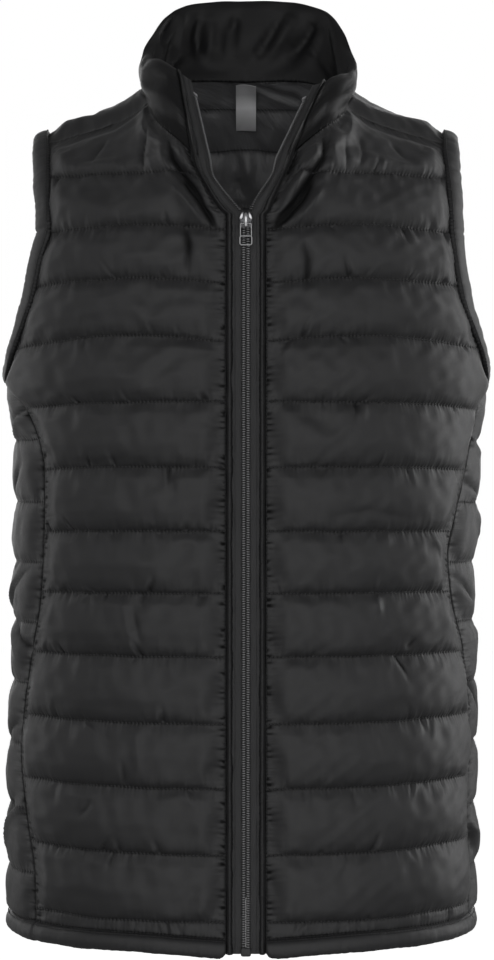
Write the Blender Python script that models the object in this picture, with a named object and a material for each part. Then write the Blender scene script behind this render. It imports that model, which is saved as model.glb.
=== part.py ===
"""A quilted stand-collar vest, hollow and in its worn shape, zip closed to the chest.

Metres, +Z up, the front faces -Y and the wearer's right is at -X. The origin lies between the
shoulders, at the height where they bear on the wearer. Every panel is a wall raised from one
form: an inner surface, worked out from the tables below, and an outer surface moved out from it
along its normal. Between two quilting lines the outer points are raised, over a plain inside.
"""
import math

import bmesh
import bpy
import numpy as np
from mathutils import Vector

RIGHT, LEFT = -1, 1
SIDE_NAMES = {RIGHT: "right", LEFT: "left"}

# Driving dimensions
SEAM_GAP = 0.0003
SIDE_GAP = 0.0008                # wider, because the two panels' rows don't meet on a side seam
HEM_EDGE_Z = -0.7030
HEM_DEPTH = 0.0160              # from the hem stitch down to the edge
ARMPIT_Z = -0.2345
ROUNDNESS = 2.3                 # exponent of the torso's horizontal sections
SHOULDER_DROP_FRONT = 0.135     # height over which a shoulder rounds into the chest
SHOULDER_DROP_BACK = 0.150
SEAM_THICKNESS = 0.0040         # wall at a seam
LINE_THICKNESS = 0.0036         # wall at a quilting line
PUFF = 0.0074                   # what a full puff adds to that
EDGE_FADE = 0.020               # puffs die out over this distance at a panel's edge
STRIP_WIDTH = 0.0160            # from the zip's middle to the quilted panel

# Torso sections of the inner wall, bottom to top: half widths each side, depths front and back,
# and how far out each side seam lies
TORSO_COLUMNS = ("z", "half_right", "half_left", "front", "back", "seam_right", "seam_left")
TORSO_SECTIONS = (
    (-0.703, 0.1930, 0.1855, 0.1200, 0.118, 0.1700, 0.1835),
    (-0.687, 0.1960, 0.1885, 0.1200, 0.118, 0.1700, 0.1835),
    (-0.645, 0.1950, 0.1880, 0.1195, 0.117, 0.1710, 0.1840),
    (-0.600, 0.1945, 0.1875, 0.1190, 0.115, 0.1780, 0.1820),
    (-0.545, 0.1945, 0.1880, 0.1185, 0.113, 0.1840, 0.1845),
    (-0.515, 0.1930, 0.1885, 0.1185, 0.112, 0.1815, 0.1840),
    (-0.460, 0.1900, 0.1870, 0.1180, 0.111, 0.1735, 0.1775),
    (-0.415, 0.1895, 0.1855, 0.1180, 0.111, 0.1660, 0.1665),
    (-0.380, 0.1895, 0.1865, 0.1185, 0.112, 0.1640, 0.1635),
    (-0.350, 0.1890, 0.1885, 0.1190, 0.113, 0.1630, 0.1695),
    (-0.310, 0.1890, 0.1900, 0.1195, 0.115, 0.1630, 0.1795),
    (-0.285, 0.1895, 0.1905, 0.1200, 0.117, 0.1680, 0.1850),
    (-0.260, 0.1915, 0.1940, 0.1200, 0.119, 0.1790, 0.1905),
    (-0.2345, 0.1985, 0.2000, 0.1195, 0.120, 0.1973, 0.1988),
    (-0.2200, 0.2005, 0.2025, 0.1190, 0.121, 0.1973, 0.1988),
    (-0.1900, 0.1975, 0.1990, 0.1180, 0.123, 0.1973, 0.1988),
    (-0.120, 0.1950, 0.1955, 0.1155, 0.125, 0.1938, 0.1953),
    (-0.050, 0.1950, 0.1955, 0.1075, 0.123, 0.1938, 0.1953),
)

# The shoulder's ridge, neck to tip: its height, and how far behind the side line it runs
RIDGE_COLUMNS = ("x", "z", "y")
RIDGE = (
    (0.000, 0.0420, 0.0500),
    (0.030, 0.0410, 0.0460),
    (0.045, 0.0390, 0.0420),
    (0.060, 0.0345, 0.0380),
    (0.070, 0.0270, 0.0350),
    (0.078, 0.0190, 0.0330),
    (0.087, 0.0090, 0.0300),
    (0.102, -0.0008, 0.0250),
    (0.115, -0.0062, 0.0220),
    (0.132, -0.0125, 0.0180),
    (0.150, -0.0185, 0.0130),
    (0.169, -0.0250, 0.0080),
    (0.190, -0.0325, 0.0000),
)

# Armhole edges: how far out the front edges lie, and how far the back edge lies behind the side
# line, as a turn round the torso in degrees
ARMHOLE_COLUMNS = ("z", "front_right", "front_left", "back_turn")
ARMHOLE = (
    (-0.2345, 0.1973, 0.1988, -7.0),
    (-0.2335, 0.1969, 0.1984, -1.0),
    (-0.2310, 0.1962, 0.1977, 6.0),
    (-0.2250, 0.1943, 0.1960, 13.0),
    (-0.2160, 0.1910, 0.1935, 18.5),
    (-0.1980, 0.1845, 0.1868, 23.5),
    (-0.1650, 0.1742, 0.1762, 27.5),
    (-0.1350, 0.1675, 0.1710, 30.0),
    (-0.1050, 0.1580, 0.1680, 31.0),
    (-0.0750, 0.1550, 0.1660, 31.5),
    (-0.0450, 0.1590, 0.1660, 31.5),
    (-0.0220, 0.1680, 0.1680, 32.5),
)

# Quilting lines, bottom to top: height beside the zip (or centre back), in the panel's middle
# and at its side
FRONT_LINES = (
    (-0.6870, -0.6832, -0.6835),
    (-0.6735, -0.6735, -0.6720),
    (-0.6200, -0.6195, -0.6170),
    (-0.5670, -0.5665, -0.5650),
    (-0.5150, -0.5145, -0.5130),
    (-0.4610, -0.4610, -0.4610),
    (-0.4100, -0.4100, -0.4110),
    (-0.3600, -0.3600, -0.3610),
    (-0.3090, -0.3080, -0.3100),
    (-0.2560, -0.2560, -0.2585),
    (-0.2080, -0.2020, -0.2105),
    (-0.1610, -0.1560, -0.1590),
    (-0.1180, -0.1130, -0.1160),
    (-0.0690, -0.0690, -0.0690),
)
BACK_LINES = (
    (-0.6870, -0.6850, -0.6835),
    (-0.6440, -0.6440, -0.6440),
    (-0.5920, -0.5920, -0.5920),
    (-0.5390, -0.5390, -0.5390),
    (-0.4880, -0.4880, -0.4880),
    (-0.4370, -0.4370, -0.4370),
    (-0.3870, -0.3870, -0.3870),
    (-0.3370, -0.3370, -0.3370),
    (-0.2850, -0.2850, -0.2850),
    (-0.2310, -0.2320, -0.2345),
    (-0.1780, -0.1800, -0.1830),
    (-0.1240, -0.1280, -0.1340),
    (-0.0700, -0.0770, -0.0880),
    (-0.0180, -0.0300, -0.0480),
)
ARMPIT_LINE = 9                 # the armholes start in the row above this line

# The neck seam and the collar's top edge, from the zip to the centre back: how far out the seam
# lies, its turn over the shoulder in degrees (0 on the ridge, minus in front), and the top edge
NECK_COLUMNS = ("neck_right", "neck_left", "neck_turn", "top_right", "top_right_z",
                "top_left", "top_left_z", "top_y", "bulge")
NECK_STATIONS = (
    (0.0287, 0.0240, -78.3, 0.0465, 0.0130, 0.0570, 0.0085, -0.0560, 0.000),
    (0.0447, 0.0400, -72.0, 0.0585, 0.0220, 0.0690, 0.0125, -0.0500, 0.001),
    (0.0620, 0.0600, -61.0, 0.0730, 0.0340, 0.0825, 0.0210, -0.0340, 0.003),
    (0.0745, 0.0750, -46.5, 0.0815, 0.0430, 0.0900, 0.0330, -0.0100, 0.003),
    (0.0790, 0.0815, -33.0, 0.0820, 0.0560, 0.0885, 0.0520, 0.0180, 0.001),
    (0.0805, 0.0845, -12.0, 0.0730, 0.0790, 0.0800, 0.0780, 0.0430, 0.000),
    (0.0715, 0.0745, 8.0, 0.0570, 0.1010, 0.0640, 0.1000, 0.0610, 0.001),
    (0.0430, 0.0440, 14.0, 0.0325, 0.1080, 0.0365, 0.1080, 0.0690, 0.001),
    (0.0000, 0.0000, 16.5, 0.0000, 0.1095, 0.0000, 0.1095, 0.0700, 0.000),
)
PANEL_STATION = 1               # the quilted panel and the collar's cloth start here
SHOULDER_STATION = 4            # the shoulder seam meets the neck seam here
LAST_STATION = len(NECK_STATIONS) - 1
SHOULDER_TURN_NECK, SHOULDER_TURN_TIP = -33.0, -26.0
TIP_X = 0.1680

# The zip's open edges above the slider: how far out each lies, by height
ZIP_COLUMNS = ("z", "right", "left")
ZIP_OPENING = (
    (-0.1150, 0.0000, 0.0000),
    (-0.1060, 0.0000, 0.0000),
    (-0.1040, 0.0028, 0.0028),
    (-0.0990, 0.0075, 0.0048),
    (-0.0920, 0.0135, 0.0088),
    (-0.0860, 0.0185, 0.0130),
    (-0.0780, 0.0245, 0.0184),
    (-0.0690, 0.0287, 0.0240),
)
SLIDER_TOP_Z = -0.1040
SLIDER_LENGTH = 0.0140

# Where the wall's points lie: shares of a quilt row, and of a panel's width
ROW_SHARES = (0.0, 0.2, 0.5, 0.8)
BACK_ARMPIT_SHARES = (0.0, 0.02, 0.07, 0.18, 0.35, 0.60, 0.82)
FRONT_ARMPIT_SHARES = (0.0, 0.2, 0.5, 0.56, 0.66, 0.82)
PUFF_SHAPE = ((0.0, 0.0), (0.035, 0.25), (0.2, 0.78), (0.45, 1.0), (0.8, 0.72), (1.0, 0.0))
FRONT_NECK_SHARES = (0.0, 0.09, 0.20, 0.31, 0.42)
FRONT_SHOULDER_SHARES = (0.54, 0.67, 0.80, 0.92, 1.0)
BACK_NECK_SHARES = (0.0, 0.11, 0.20, 0.28, 0.36, 0.43, 0.50)
BACK_SHOULDER_SHARES = (0.60, 0.71, 0.82, 0.93, 1.0)

COLORS = {
    "shell": ((0.018, 0.018, 0.020), 0.42, 0.0),
    "collar": ((0.013, 0.013, 0.014), 0.50, 0.0),
    "tape": ((0.012, 0.012, 0.013), 0.75, 0.0),
    "coil": ((0.030, 0.030, 0.032), 0.40, 0.0),
    "metal": ((0.42, 0.42, 0.43), 0.30, 1.0),
    "label": ((0.20, 0.20, 0.21), 0.40, 0.0),
}


# Reading the tables

def curve_through(keys, values):
    """A smooth curve through the points, which never overshoots between two of them."""
    keys = np.asarray(keys, float)
    values = np.asarray(values, float)
    steps = np.diff(keys)
    slopes = np.diff(values) / steps
    tangents = np.zeros(len(keys))
    for i in range(1, len(keys) - 1):
        if slopes[i - 1] * slopes[i] > 0:
            before = 2 * steps[i] + steps[i - 1]
            after = steps[i] + 2 * steps[i - 1]
            tangents[i] = (before + after) / (before / slopes[i - 1] + after / slopes[i])
    tangents[0], tangents[-1] = slopes[0], slopes[-1]

    def read(at):
        at = min(max(at, keys[0]), keys[-1])
        i = int(min(max(np.searchsorted(keys, at, side="right") - 1, 0), len(steps) - 1))
        t = (at - keys[i]) / steps[i]
        return float((2 * t**3 - 3 * t**2 + 1) * values[i] + (t**3 - 2 * t**2 + t) * steps[i] * tangents[i]
                     + (3 * t**2 - 2 * t**3) * values[i + 1] + (t**3 - t**2) * steps[i] * tangents[i + 1])
    return read


def read_columns(columns, rows, key=None):
    """One smooth curve for each named column, by the key column or by the row's number."""
    table = np.array(rows)
    keys = table[:, columns.index(key)] if key else np.arange(len(rows))
    return {name: curve_through(keys, table[:, i]) for i, name in enumerate(columns) if name != key}


TORSO = read_columns(TORSO_COLUMNS, TORSO_SECTIONS, "z")
RIDGE_LINE = read_columns(RIDGE_COLUMNS, RIDGE, "x")
ARMHOLE_EDGE = read_columns(ARMHOLE_COLUMNS, ARMHOLE, "z")
NECK = read_columns(NECK_COLUMNS, NECK_STATIONS)
ZIP_EDGE = read_columns(ZIP_COLUMNS, ZIP_OPENING, "z")
PUFF_HEIGHT = curve_through(*zip(*PUFF_SHAPE))


def mix(a, b, share):
    return a + (b - a) * share


def ease(share):
    share = min(max(share, 0.0), 1.0)
    return share * share * (3 - 2 * share)


# The form: the inner surface of the whole vest

def half_width(side, z):
    return TORSO["half_" + SIDE_NAMES[side]](z)


def turn_at(side, x, z):
    """The turn from the side line, in degrees, at which the torso is x wide."""
    share = min(x / half_width(side, z), 1.0)
    return math.degrees(math.acos(share ** (ROUNDNESS / 2)))


def on_torso(side, turn, z):
    """A point of the wall by its turn round the torso: 0 at the side, minus towards the front."""
    turn = math.radians(turn)
    x = half_width(side, z) * max(math.cos(turn), 0.0) ** (2 / ROUNDNESS)
    face = math.copysign(1.0, turn)
    drop = SHOULDER_DROP_BACK if face > 0 else SHOULDER_DROP_FRONT
    depth = TORSO["back" if face > 0 else "front"](z) * abs(math.sin(turn)) ** (2 / ROUNDNESS)
    below = min(max((RIDGE_LINE["z"](x) - z) / drop, 0.0), 1.0)
    rounding = math.sqrt(1 - (1 - below) ** 2)
    middle = RIDGE_LINE["y"](x)
    return np.array((side * x, middle + (face * depth - middle) * rounding, z))


def on_shoulder(side, x, turn):
    """A point of the wall by its turn over the shoulder: 0 on the ridge, minus in front."""
    turn = math.radians(turn)
    face = math.copysign(1.0, turn)
    drop = SHOULDER_DROP_BACK if face > 0 else SHOULDER_DROP_FRONT
    z = RIDGE_LINE["z"](x) - drop * (1 - math.cos(turn))
    share = min(x / half_width(side, z), 1.0)
    depth = TORSO["back" if face > 0 else "front"](z) * (1 - share**ROUNDNESS) ** (1 / ROUNDNESS)
    middle = RIDGE_LINE["y"](x)
    return np.array((side * x, middle + (face * depth - middle) * abs(math.sin(turn)), z))


def surface_point(surface, side, a, b, step_a, step_b):
    """A point of the form and its outward normal."""
    across = surface(side, a + step_a, b) - surface(side, a - step_a, b)
    along = surface(side, a, b + step_b) - surface(side, a, b - step_b)
    normal = np.cross(across, along)
    length = np.linalg.norm(normal)
    point = surface(side, a, b)
    if length < 1e-12:
        normal, length = np.array((0.0, 0.0, 1.0)), 1.0
    normal = normal / length
    outward = point - np.array((0.0, RIDGE_LINE["y"](abs(point[0])), -0.35))
    return point, normal * math.copysign(1.0, normal @ outward)


def torso_point(side, turn, z):
    return surface_point(on_torso, side, turn, z, 0.3, 0.001)


def shoulder_point(side, x, turn):
    return surface_point(on_shoulder, side, max(x, 0.001), turn, 0.0008, 1.0)


def front_point(side, x, z):
    """A point of the front wall, x from the middle."""
    turn = -turn_at(side, max(x, 0.001), z)
    return torso_point(side, turn, z)


def line_height(lines, index, share):
    """The height of a quilting line at a share of the panel's width."""
    at_zip, middle, at_side = lines[index]
    return curve_through((0.0, 0.5, 1.0), (at_zip, middle, at_side))(share)


def neck_seam(side, station):
    """A point of the neck seam and the wall's normal there."""
    x = NECK["neck_" + SIDE_NAMES[side]](station)
    return shoulder_point(side, x, NECK["neck_turn"](station))


def zip_edge(side, z):
    return ZIP_EDGE[SIDE_NAMES[side]](z)


def strip_spot(side, level, across):
    """How far out and how high the chest lies beside the zip, across metres from it.

    Above the slider the levels tilt, until the top one runs along the neck seam.
    """
    neck_end = neck_seam(side, 0.0)[0][2]
    station = PANEL_STATION * max(across, 0.0) / STRIP_WIDTH
    tilt = neck_seam(side, station)[0][2] - neck_end
    open_share = ease((level - SLIDER_TOP_Z) / (neck_end - SLIDER_TOP_Z))
    return abs(zip_edge(side, level) + across), level + tilt * open_share


# Panels as grids of (inner point, outward normal, wall thickness)

def front_edge(side, z):
    """How far out the front panel's side edge lies: side seam, then armhole."""
    name = SIDE_NAMES[side]
    return TORSO["seam_" + name](z) if z <= ARMPIT_Z else ARMHOLE_EDGE["front_" + name](z)


def front_spot(side, share, line, row_share):
    """The inner point and normal at a share of the front panel's width, between two lines."""
    last = len(FRONT_LINES) - 1
    if line < last - 1:
        z = mix(line_height(FRONT_LINES, line, share), line_height(FRONT_LINES, line + 1, share), row_share)
        near = zip_edge(side, z) + STRIP_WIDTH
        return front_point(side, mix(near, front_edge(side, z), share), z)
    start_z = line_height(FRONT_LINES, last - 1, share)
    start_x = mix(STRIP_WIDTH, front_edge(side, start_z), share)
    top, _ = front_top(side, share)
    quilt_z = line_height(FRONT_LINES, last, share)
    split = min((quilt_z - start_z) / (top[2] - start_z), 0.62)
    rise = row_share * split if line == last - 1 else mix(split, 1.0, row_share)
    zip_start = line_height(FRONT_LINES, last - 1, 0.0)
    near_top, _ = front_top(side, 0.0)
    near_x, near_z = strip_spot(side, mix(zip_start, neck_seam(side, 0.0)[0][2], rise), STRIP_WIDTH)
    near = (1 - share) ** 2
    x = mix(start_x, abs(top[0]), rise) + near * (near_x - mix(STRIP_WIDTH, abs(near_top[0]), rise))
    z = mix(start_z, top[2], rise) + near * (near_z - mix(zip_start, near_top[2], rise))
    return front_point(side, x, z)


def front_top(side, share):
    """The front panel's top edge: the neck seam, then the shoulder seam."""
    junction = FRONT_NECK_SHARES[-1]
    if share <= junction:
        return neck_seam(side, mix(PANEL_STATION, SHOULDER_STATION, share / junction))
    return shoulder_seam(side, (share - junction) / (1 - junction))


def shoulder_seam(side, share):
    x = mix(NECK["neck_" + SIDE_NAMES[side]](SHOULDER_STATION), TIP_X, share)
    return shoulder_point(side, x, mix(SHOULDER_TURN_NECK, SHOULDER_TURN_TIP, share))


def back_edge_turn(side, z):
    if z <= ARMPIT_Z:
        return -turn_at(side, TORSO["seam_" + SIDE_NAMES[side]](z), z)
    return ARMHOLE_EDGE["back_turn"](z)


def back_spot(side, share, line, row_share):
    """The inner point and normal at a share of the back panel's half width."""
    last = len(BACK_LINES) - 1
    if line < last:
        z = mix(line_height(BACK_LINES, line, share), line_height(BACK_LINES, line + 1, share), row_share)
        return torso_point(side, mix(90.0, back_edge_turn(side, z), share), z)
    z = line_height(BACK_LINES, last, share)
    start, _ = torso_point(side, mix(90.0, back_edge_turn(side, z), share), z)
    start_x = abs(start[0])
    start_turn = math.degrees(math.acos(1 - (RIDGE_LINE["z"](start_x) - z) / SHOULDER_DROP_BACK))
    junction = BACK_NECK_SHARES[-1]
    if share <= junction:
        station = mix(LAST_STATION, SHOULDER_STATION, share / junction)
        end_x, end_turn = NECK["neck_" + SIDE_NAMES[side]](station), NECK["neck_turn"](station)
    else:
        along = (share - junction) / (1 - junction)
        end_x = mix(NECK["neck_" + SIDE_NAMES[side]](SHOULDER_STATION), TIP_X, along)
        end_turn = mix(SHOULDER_TURN_NECK, SHOULDER_TURN_TIP, along)
    rise = (line - last + row_share) / 2
    return shoulder_point(side, mix(start_x, end_x, rise), mix(start_turn, end_turn, rise))


def panel_rows(line_count, armpit_shares):
    """The rows of a panel's grid: (line below, share of the way to the next line)."""
    rows = []
    for line in range(line_count):
        rows += [(line, share) for share in (armpit_shares if line == ARMPIT_LINE else ROW_SHARES)]
    return rows + [(line_count - 1, 1.0)]


def panel_grid(spot, columns, rows):
    """Inner points and normals, one list for each row. A column is (side, share)."""
    grid = [[spot(side, share, line, row_share) for side, share in columns] for line, row_share in rows]
    points = np.array([[cell[0] for cell in row] for row in grid])
    normals = np.array([[cell[1] for cell in row] for row in grid])
    return points, normals


def edge_distance(points):
    """How far each point of a grid lies from the nearest side edge or the top edge."""
    across = np.linalg.norm(np.diff(points, axis=1), axis=2)
    run = np.pad(np.cumsum(across, axis=1), ((0, 0), (1, 0)))
    upward = np.linalg.norm(np.diff(points, axis=0), axis=2)
    climb = np.pad(np.cumsum(upward, axis=0), ((1, 0), (0, 0)))
    return np.minimum(np.minimum(run, run[:, -1:] - run), climb[-1] - climb)


def wall_thickness(points, rows):
    """Seam thickness at the edges, line thickness at the quilting, and raised rows between."""
    distance = edge_distance(points)
    thickness = np.zeros(points.shape[:2])
    for i, (line, row_share) in enumerate(rows):
        below = max(k for k in range(len(rows)) if rows[k][1] == 0.0 and rows[k][0] <= line)
        above = min(below + sum(1 for row in rows if row[0] == line and row[1] < 1.0), len(rows) - 1)
        for j in range(points.shape[1]):
            height = np.linalg.norm(points[above, j] - points[below, j])
            puff = PUFF * min(height / 0.050, 1.0) * PUFF_HEIGHT(row_share)
            fade = ease(distance[i, j] / EDGE_FADE)
            thickness[i, j] = mix(SEAM_THICKNESS, LINE_THICKNESS + puff, fade)
    thickness[0, :] = SEAM_THICKNESS
    thickness[-1, :] = SEAM_THICKNESS
    return thickness


def drawn_in(points):
    """The grid with its outline moved in along the grid, so that neighbours keep their gap."""
    moved = points.copy()
    for edge, inner in ((0, 1), (-1, -2)):
        for axis, gap in ((0, SEAM_GAP), (1, SIDE_GAP)):
            rim = np.take(points, edge, axis)
            step = np.take(points, inner, axis) - rim
            step *= (gap / 2) / np.linalg.norm(step, axis=-1, keepdims=True)
            target = [slice(None)] * 3
            target[axis] = edge
            moved[tuple(target)] += step
    return moved


# Meshes

def material(name):
    found = bpy.data.materials.get(name)
    if found:
        return found
    color, roughness, metallic = COLORS[name]
    made = bpy.data.materials.new(name)
    made.use_nodes = True
    shader = made.node_tree.nodes["Principled BSDF"]
    shader.inputs["Base Color"].default_value = (*color, 1.0)
    shader.inputs["Roughness"].default_value = roughness
    shader.inputs["Metallic"].default_value = metallic
    return made


def finish_mesh(bm, name, material_name, collection, smooth=True):
    """Store the bmesh as a named object, with its faces pointing out."""
    bmesh.ops.recalc_face_normals(bm, faces=bm.faces)
    if bm.calc_volume(signed=True) < 0:
        bmesh.ops.reverse_faces(bm, faces=bm.faces)
    mesh = bpy.data.meshes.new(name)
    bm.to_mesh(mesh)
    bm.free()
    if smooth:
        mesh.shade_smooth()
        mesh.set_sharp_from_angle(angle=math.radians(40))
    mesh.materials.append(material(material_name))
    made = bpy.data.objects.new(name, mesh)
    collection.objects.link(made)
    return made


def make_wall(name, outer, inner, inner_rows, material_name, collection):
    """A closed wall between an outer grid and an inner one, which is plainer away from its rims."""
    bm = bmesh.new()
    outside = [[bm.verts.new(point) for point in row] for row in outer]
    rows, columns = len(outer), len(outer[0])
    inside = [{j: bm.verts.new(inner[i][j]) for j in range(columns)
               if i in inner_rows or j in (0, columns - 1)} for i in range(rows)]
    for i in range(rows - 1):
        for j in range(columns - 1):
            bm.faces.new((outside[i][j], outside[i][j + 1], outside[i + 1][j + 1], outside[i + 1][j]))
        for edge in (0, columns - 1):
            bm.faces.new((outside[i][edge], outside[i + 1][edge], inside[i + 1][edge], inside[i][edge]))
    for low, high in zip(inner_rows, inner_rows[1:]):
        for j in range(1, columns - 2):
            bm.faces.new((inside[low][j], inside[high][j], inside[high][j + 1], inside[low][j + 1]))
        for rim, beside in ((0, 1), (columns - 1, columns - 2)):
            for i in range(low, high):
                bm.faces.new((inside[low][beside], inside[i][rim], inside[i + 1][rim]))
            bm.faces.new((inside[low][beside], inside[high][rim], inside[high][beside]))
    for i in (0, rows - 1):
        for j in range(columns - 1):
            bm.faces.new((inside[i][j], inside[i][j + 1], outside[i][j + 1], outside[i][j]))
    return finish_mesh(bm, name, material_name, collection)


def make_loft(name, sections, material_name, collection):
    """A closed solid through closed sections with the same number of points."""
    bm = bmesh.new()
    rings = [[bm.verts.new(point) for point in section] for section in sections]
    count = len(rings[0])
    for ring, following in zip(rings, rings[1:]):
        for j in range(count):
            k = (j + 1) % count
            bm.faces.new((ring[j], ring[k], following[k], following[j]))
    bm.faces.new(rings[0])
    bm.faces.new(list(reversed(rings[-1])))
    return finish_mesh(bm, name, material_name, collection)


def profile_section(point, outward, lateral, profile):
    """A closed section: each profile pair is (how far along the lateral, how far outward)."""
    return [point + lateral * along + outward * out for along, out in profile]


# Quilted panels

def neck_mitre(panel_normal, collar_normal, thickness):
    return thickness * (panel_normal + collar_normal) / (1 + panel_normal @ collar_normal)


def build_panel(name, spot, columns, rows, neck_columns, collection):
    """A quilted wall. Its neck edge is mitred with the collar."""
    inner, normals = panel_grid(spot, columns, rows)
    thickness = wall_thickness(inner, rows)
    outer = inner + normals * thickness[:, :, None]
    for j, station in neck_columns.items():
        side = columns[j][0]
        collar_normal = collar_frame(side, station)[2]
        outer[-1, j] = inner[-1, j] + neck_mitre(normals[-1, j], collar_normal, SEAM_THICKNESS)
    inner_rows = [i for i, (_, share) in enumerate(rows) if share in (0.0, 1.0)]
    make_wall(name, drawn_in(outer), drawn_in(inner), inner_rows, "shell", collection)
    return inner, normals


def build_front(side, collection):
    shares = FRONT_NECK_SHARES + FRONT_SHOULDER_SHARES
    columns = [(side, share) for share in shares]
    rows = panel_rows(len(FRONT_LINES), FRONT_ARMPIT_SHARES)
    junction = FRONT_NECK_SHARES[-1]
    stations = {j: mix(PANEL_STATION, SHOULDER_STATION, share / junction)
                for j, share in enumerate(FRONT_NECK_SHARES)}
    return build_panel("front_" + SIDE_NAMES[side], front_spot, columns, rows, stations, collection)


def build_back(collection):
    shares = BACK_NECK_SHARES + BACK_SHOULDER_SHARES
    columns = [(RIGHT, share) for share in reversed(shares[1:])] + [(LEFT, share) for share in shares]
    rows = panel_rows(len(BACK_LINES) + 1, BACK_ARMPIT_SHARES)
    junction = BACK_NECK_SHARES[-1]
    stations = {j: mix(LAST_STATION, SHOULDER_STATION, share / junction)
                for j, (_, share) in enumerate(columns) if share <= junction}
    return build_panel("back", back_spot, columns, rows, stations, collection)


# Collar

def collar_top(side, station):
    name = SIDE_NAMES[side]
    return np.array((side * NECK["top_" + name](station), NECK["top_y"](station),
                     NECK["top_" + name + "_z"](station)))


def collar_frame(side, station):
    """The neck seam's point, the way up the collar and the collar's outward normal."""
    point, _ = neck_seam(side, station)
    step = 0.1
    before = neck_seam(side, max(station - step, 0.0))[0]
    after = neck_seam(side, station + step)[0] if station + step <= LAST_STATION else None
    if after is None:
        after = neck_seam(side, LAST_STATION - (station + step - LAST_STATION))[0] * np.array((-1, 1, 1))
    up = collar_top(side, station) - point
    height = np.linalg.norm(up)
    up = up / height
    normal = np.cross(after - before, up)
    normal /= np.linalg.norm(normal)
    centre = np.array((0.0, 0.0, point[2]))
    if normal @ (point - centre) < 0:
        normal = -normal
    return point, up * height, normal


# share of the collar's height, share of its bulge, wall thickness
COLLAR_PROFILE = (
    (0.00, 0.0, 0.0040),
    (0.17, 0.0, 0.0040),
    (0.42, 1.0, 0.0094),
    (0.70, 0.8, 0.0098),
    (0.92, 0.3, 0.0086),
    (1.00, 0.0, 0.0040),
)


def collar_section(side, station):
    """The collar's closed section: up the outside, over the folded edge and down the inside."""
    point, up, normal = collar_frame(side, station)
    _, panel_normal = neck_seam(side, station)
    bulge = NECK["bulge"](station)
    lift = up / np.linalg.norm(up) * SEAM_GAP
    outside, inside = [], []
    for share, bow, thickness in COLLAR_PROFILE:
        base = point + up * share + normal * bulge * bow
        if share == 0.0:
            inside.append(base + lift)
            outside.append(base + lift + neck_mitre(panel_normal, normal, SEAM_THICKNESS))
        else:
            set_in = (thickness - SEAM_THICKNESS) * 0.35
            inside.append(base - normal * set_in)
            outside.append(base + normal * (thickness - set_in))
    return outside + list(reversed(inside))


def collar_stations():
    """Side and station of each collar section, right front edge to left front edge."""
    front = [mix(PANEL_STATION, SHOULDER_STATION, share / FRONT_NECK_SHARES[-1]) for share in FRONT_NECK_SHARES]
    back = [mix(LAST_STATION, SHOULDER_STATION, share / BACK_NECK_SHARES[-1]) for share in BACK_NECK_SHARES]
    half = front + sorted(back)[1:]
    return [(RIGHT, station) for station in half] + [(LEFT, station) for station in reversed(half[:-1])]


def build_collar(collection):
    sections = [collar_section(side, station) for side, station in collar_stations()]
    for end, inner in ((0, 1), (-1, -2)):
        across = np.array(sections[inner][0]) - np.array(sections[end][0])
        shift = across / np.linalg.norm(across) * (SEAM_GAP / 2)
        sections[end] = [point + shift for point in sections[end]]
    make_loft("collar", sections, "collar", collection)


# Strips along the zip

COLLAR_TOP_SHARE = 0.97
COLLAR_STRIP_SHARES = (0.08, 0.2, 0.35, 0.5, 0.65, 0.8, 0.9, COLLAR_TOP_SHARE)
CHEST_STRIP_LEVELS = (-0.118, -0.112, -0.106, -0.104, -0.101, -0.097, -0.092, -0.087, -0.081, -0.075)


def strip_point(side, level, across):
    """A point and normal beside the zip's path, across metres from it.

    A level below 0 is a height on the chest, and one above 0 is a share of the collar's height.
    """
    if level > 0:
        station = PANEL_STATION * across / STRIP_WIDTH
        if station < 0:
            edge, _ = strip_point(side, level, 0.0)
            further, normal = strip_point(side, level, -across)
            return 2 * edge - further, normal
        point, up, normal = collar_frame(side, station)
        bow = 4 * level * (1 - level)
        return point + up * level + normal * NECK["bulge"](station) * bow, normal
    return front_point(side, *strip_spot(side, level, across))


def strip_levels(bottom):
    """Levels of a strip from the hem to the collar's top."""
    count = 14
    chest = [mix(bottom, CHEST_STRIP_LEVELS[0], i / count) for i in range(count)]
    return chest + list(CHEST_STRIP_LEVELS) + list(COLLAR_STRIP_SHARES)


def build_strip(name, side, levels, profile, material_name, collection):
    """A strip beside the zip: profile pairs are (metres from the zip, metres out)."""
    sections = []
    for level in levels:
        section = []
        for across, out in profile:
            point, normal = strip_point(side, level, across)
            section.append(point + normal * out)
        sections.append(section)
    make_loft(name, sections, material_name, collection)


TAPE_PROFILE = ((0.0014, 0.0030), (0.0014, 0.0042), (0.0060, 0.0042), (0.0098, 0.0042),
                (0.0098, 0.0030), (0.0060, 0.0030))
BAND_PROFILE = ((0.0106, 0.0000), (0.0106, 0.0052), (0.0118, 0.0078), (0.0140, 0.0078),
                (0.0157, 0.0045), (0.0157, 0.0000))
COIL_PROFILE = ((-0.0017, 0.0045), (-0.0017, 0.0062), (-0.0009, 0.0068), (0.0009, 0.0068),
                (0.0017, 0.0062), (0.0017, 0.0045))
COIL_OPEN_START = -0.1030
COIL_TOP_SHARE = 0.755                      # the open coils and their stops end below the collar's top
CHAIN_HALF_WIDTH = 0.0032
CHAIN_PROFILE = ((-1.0, 0.0045), (-1.0, 0.0060), (-0.6, 0.0068), (0.6, 0.0068), (1.0, 0.0060), (1.0, 0.0045))
BOX_TOP_Z = -0.6940


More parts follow.
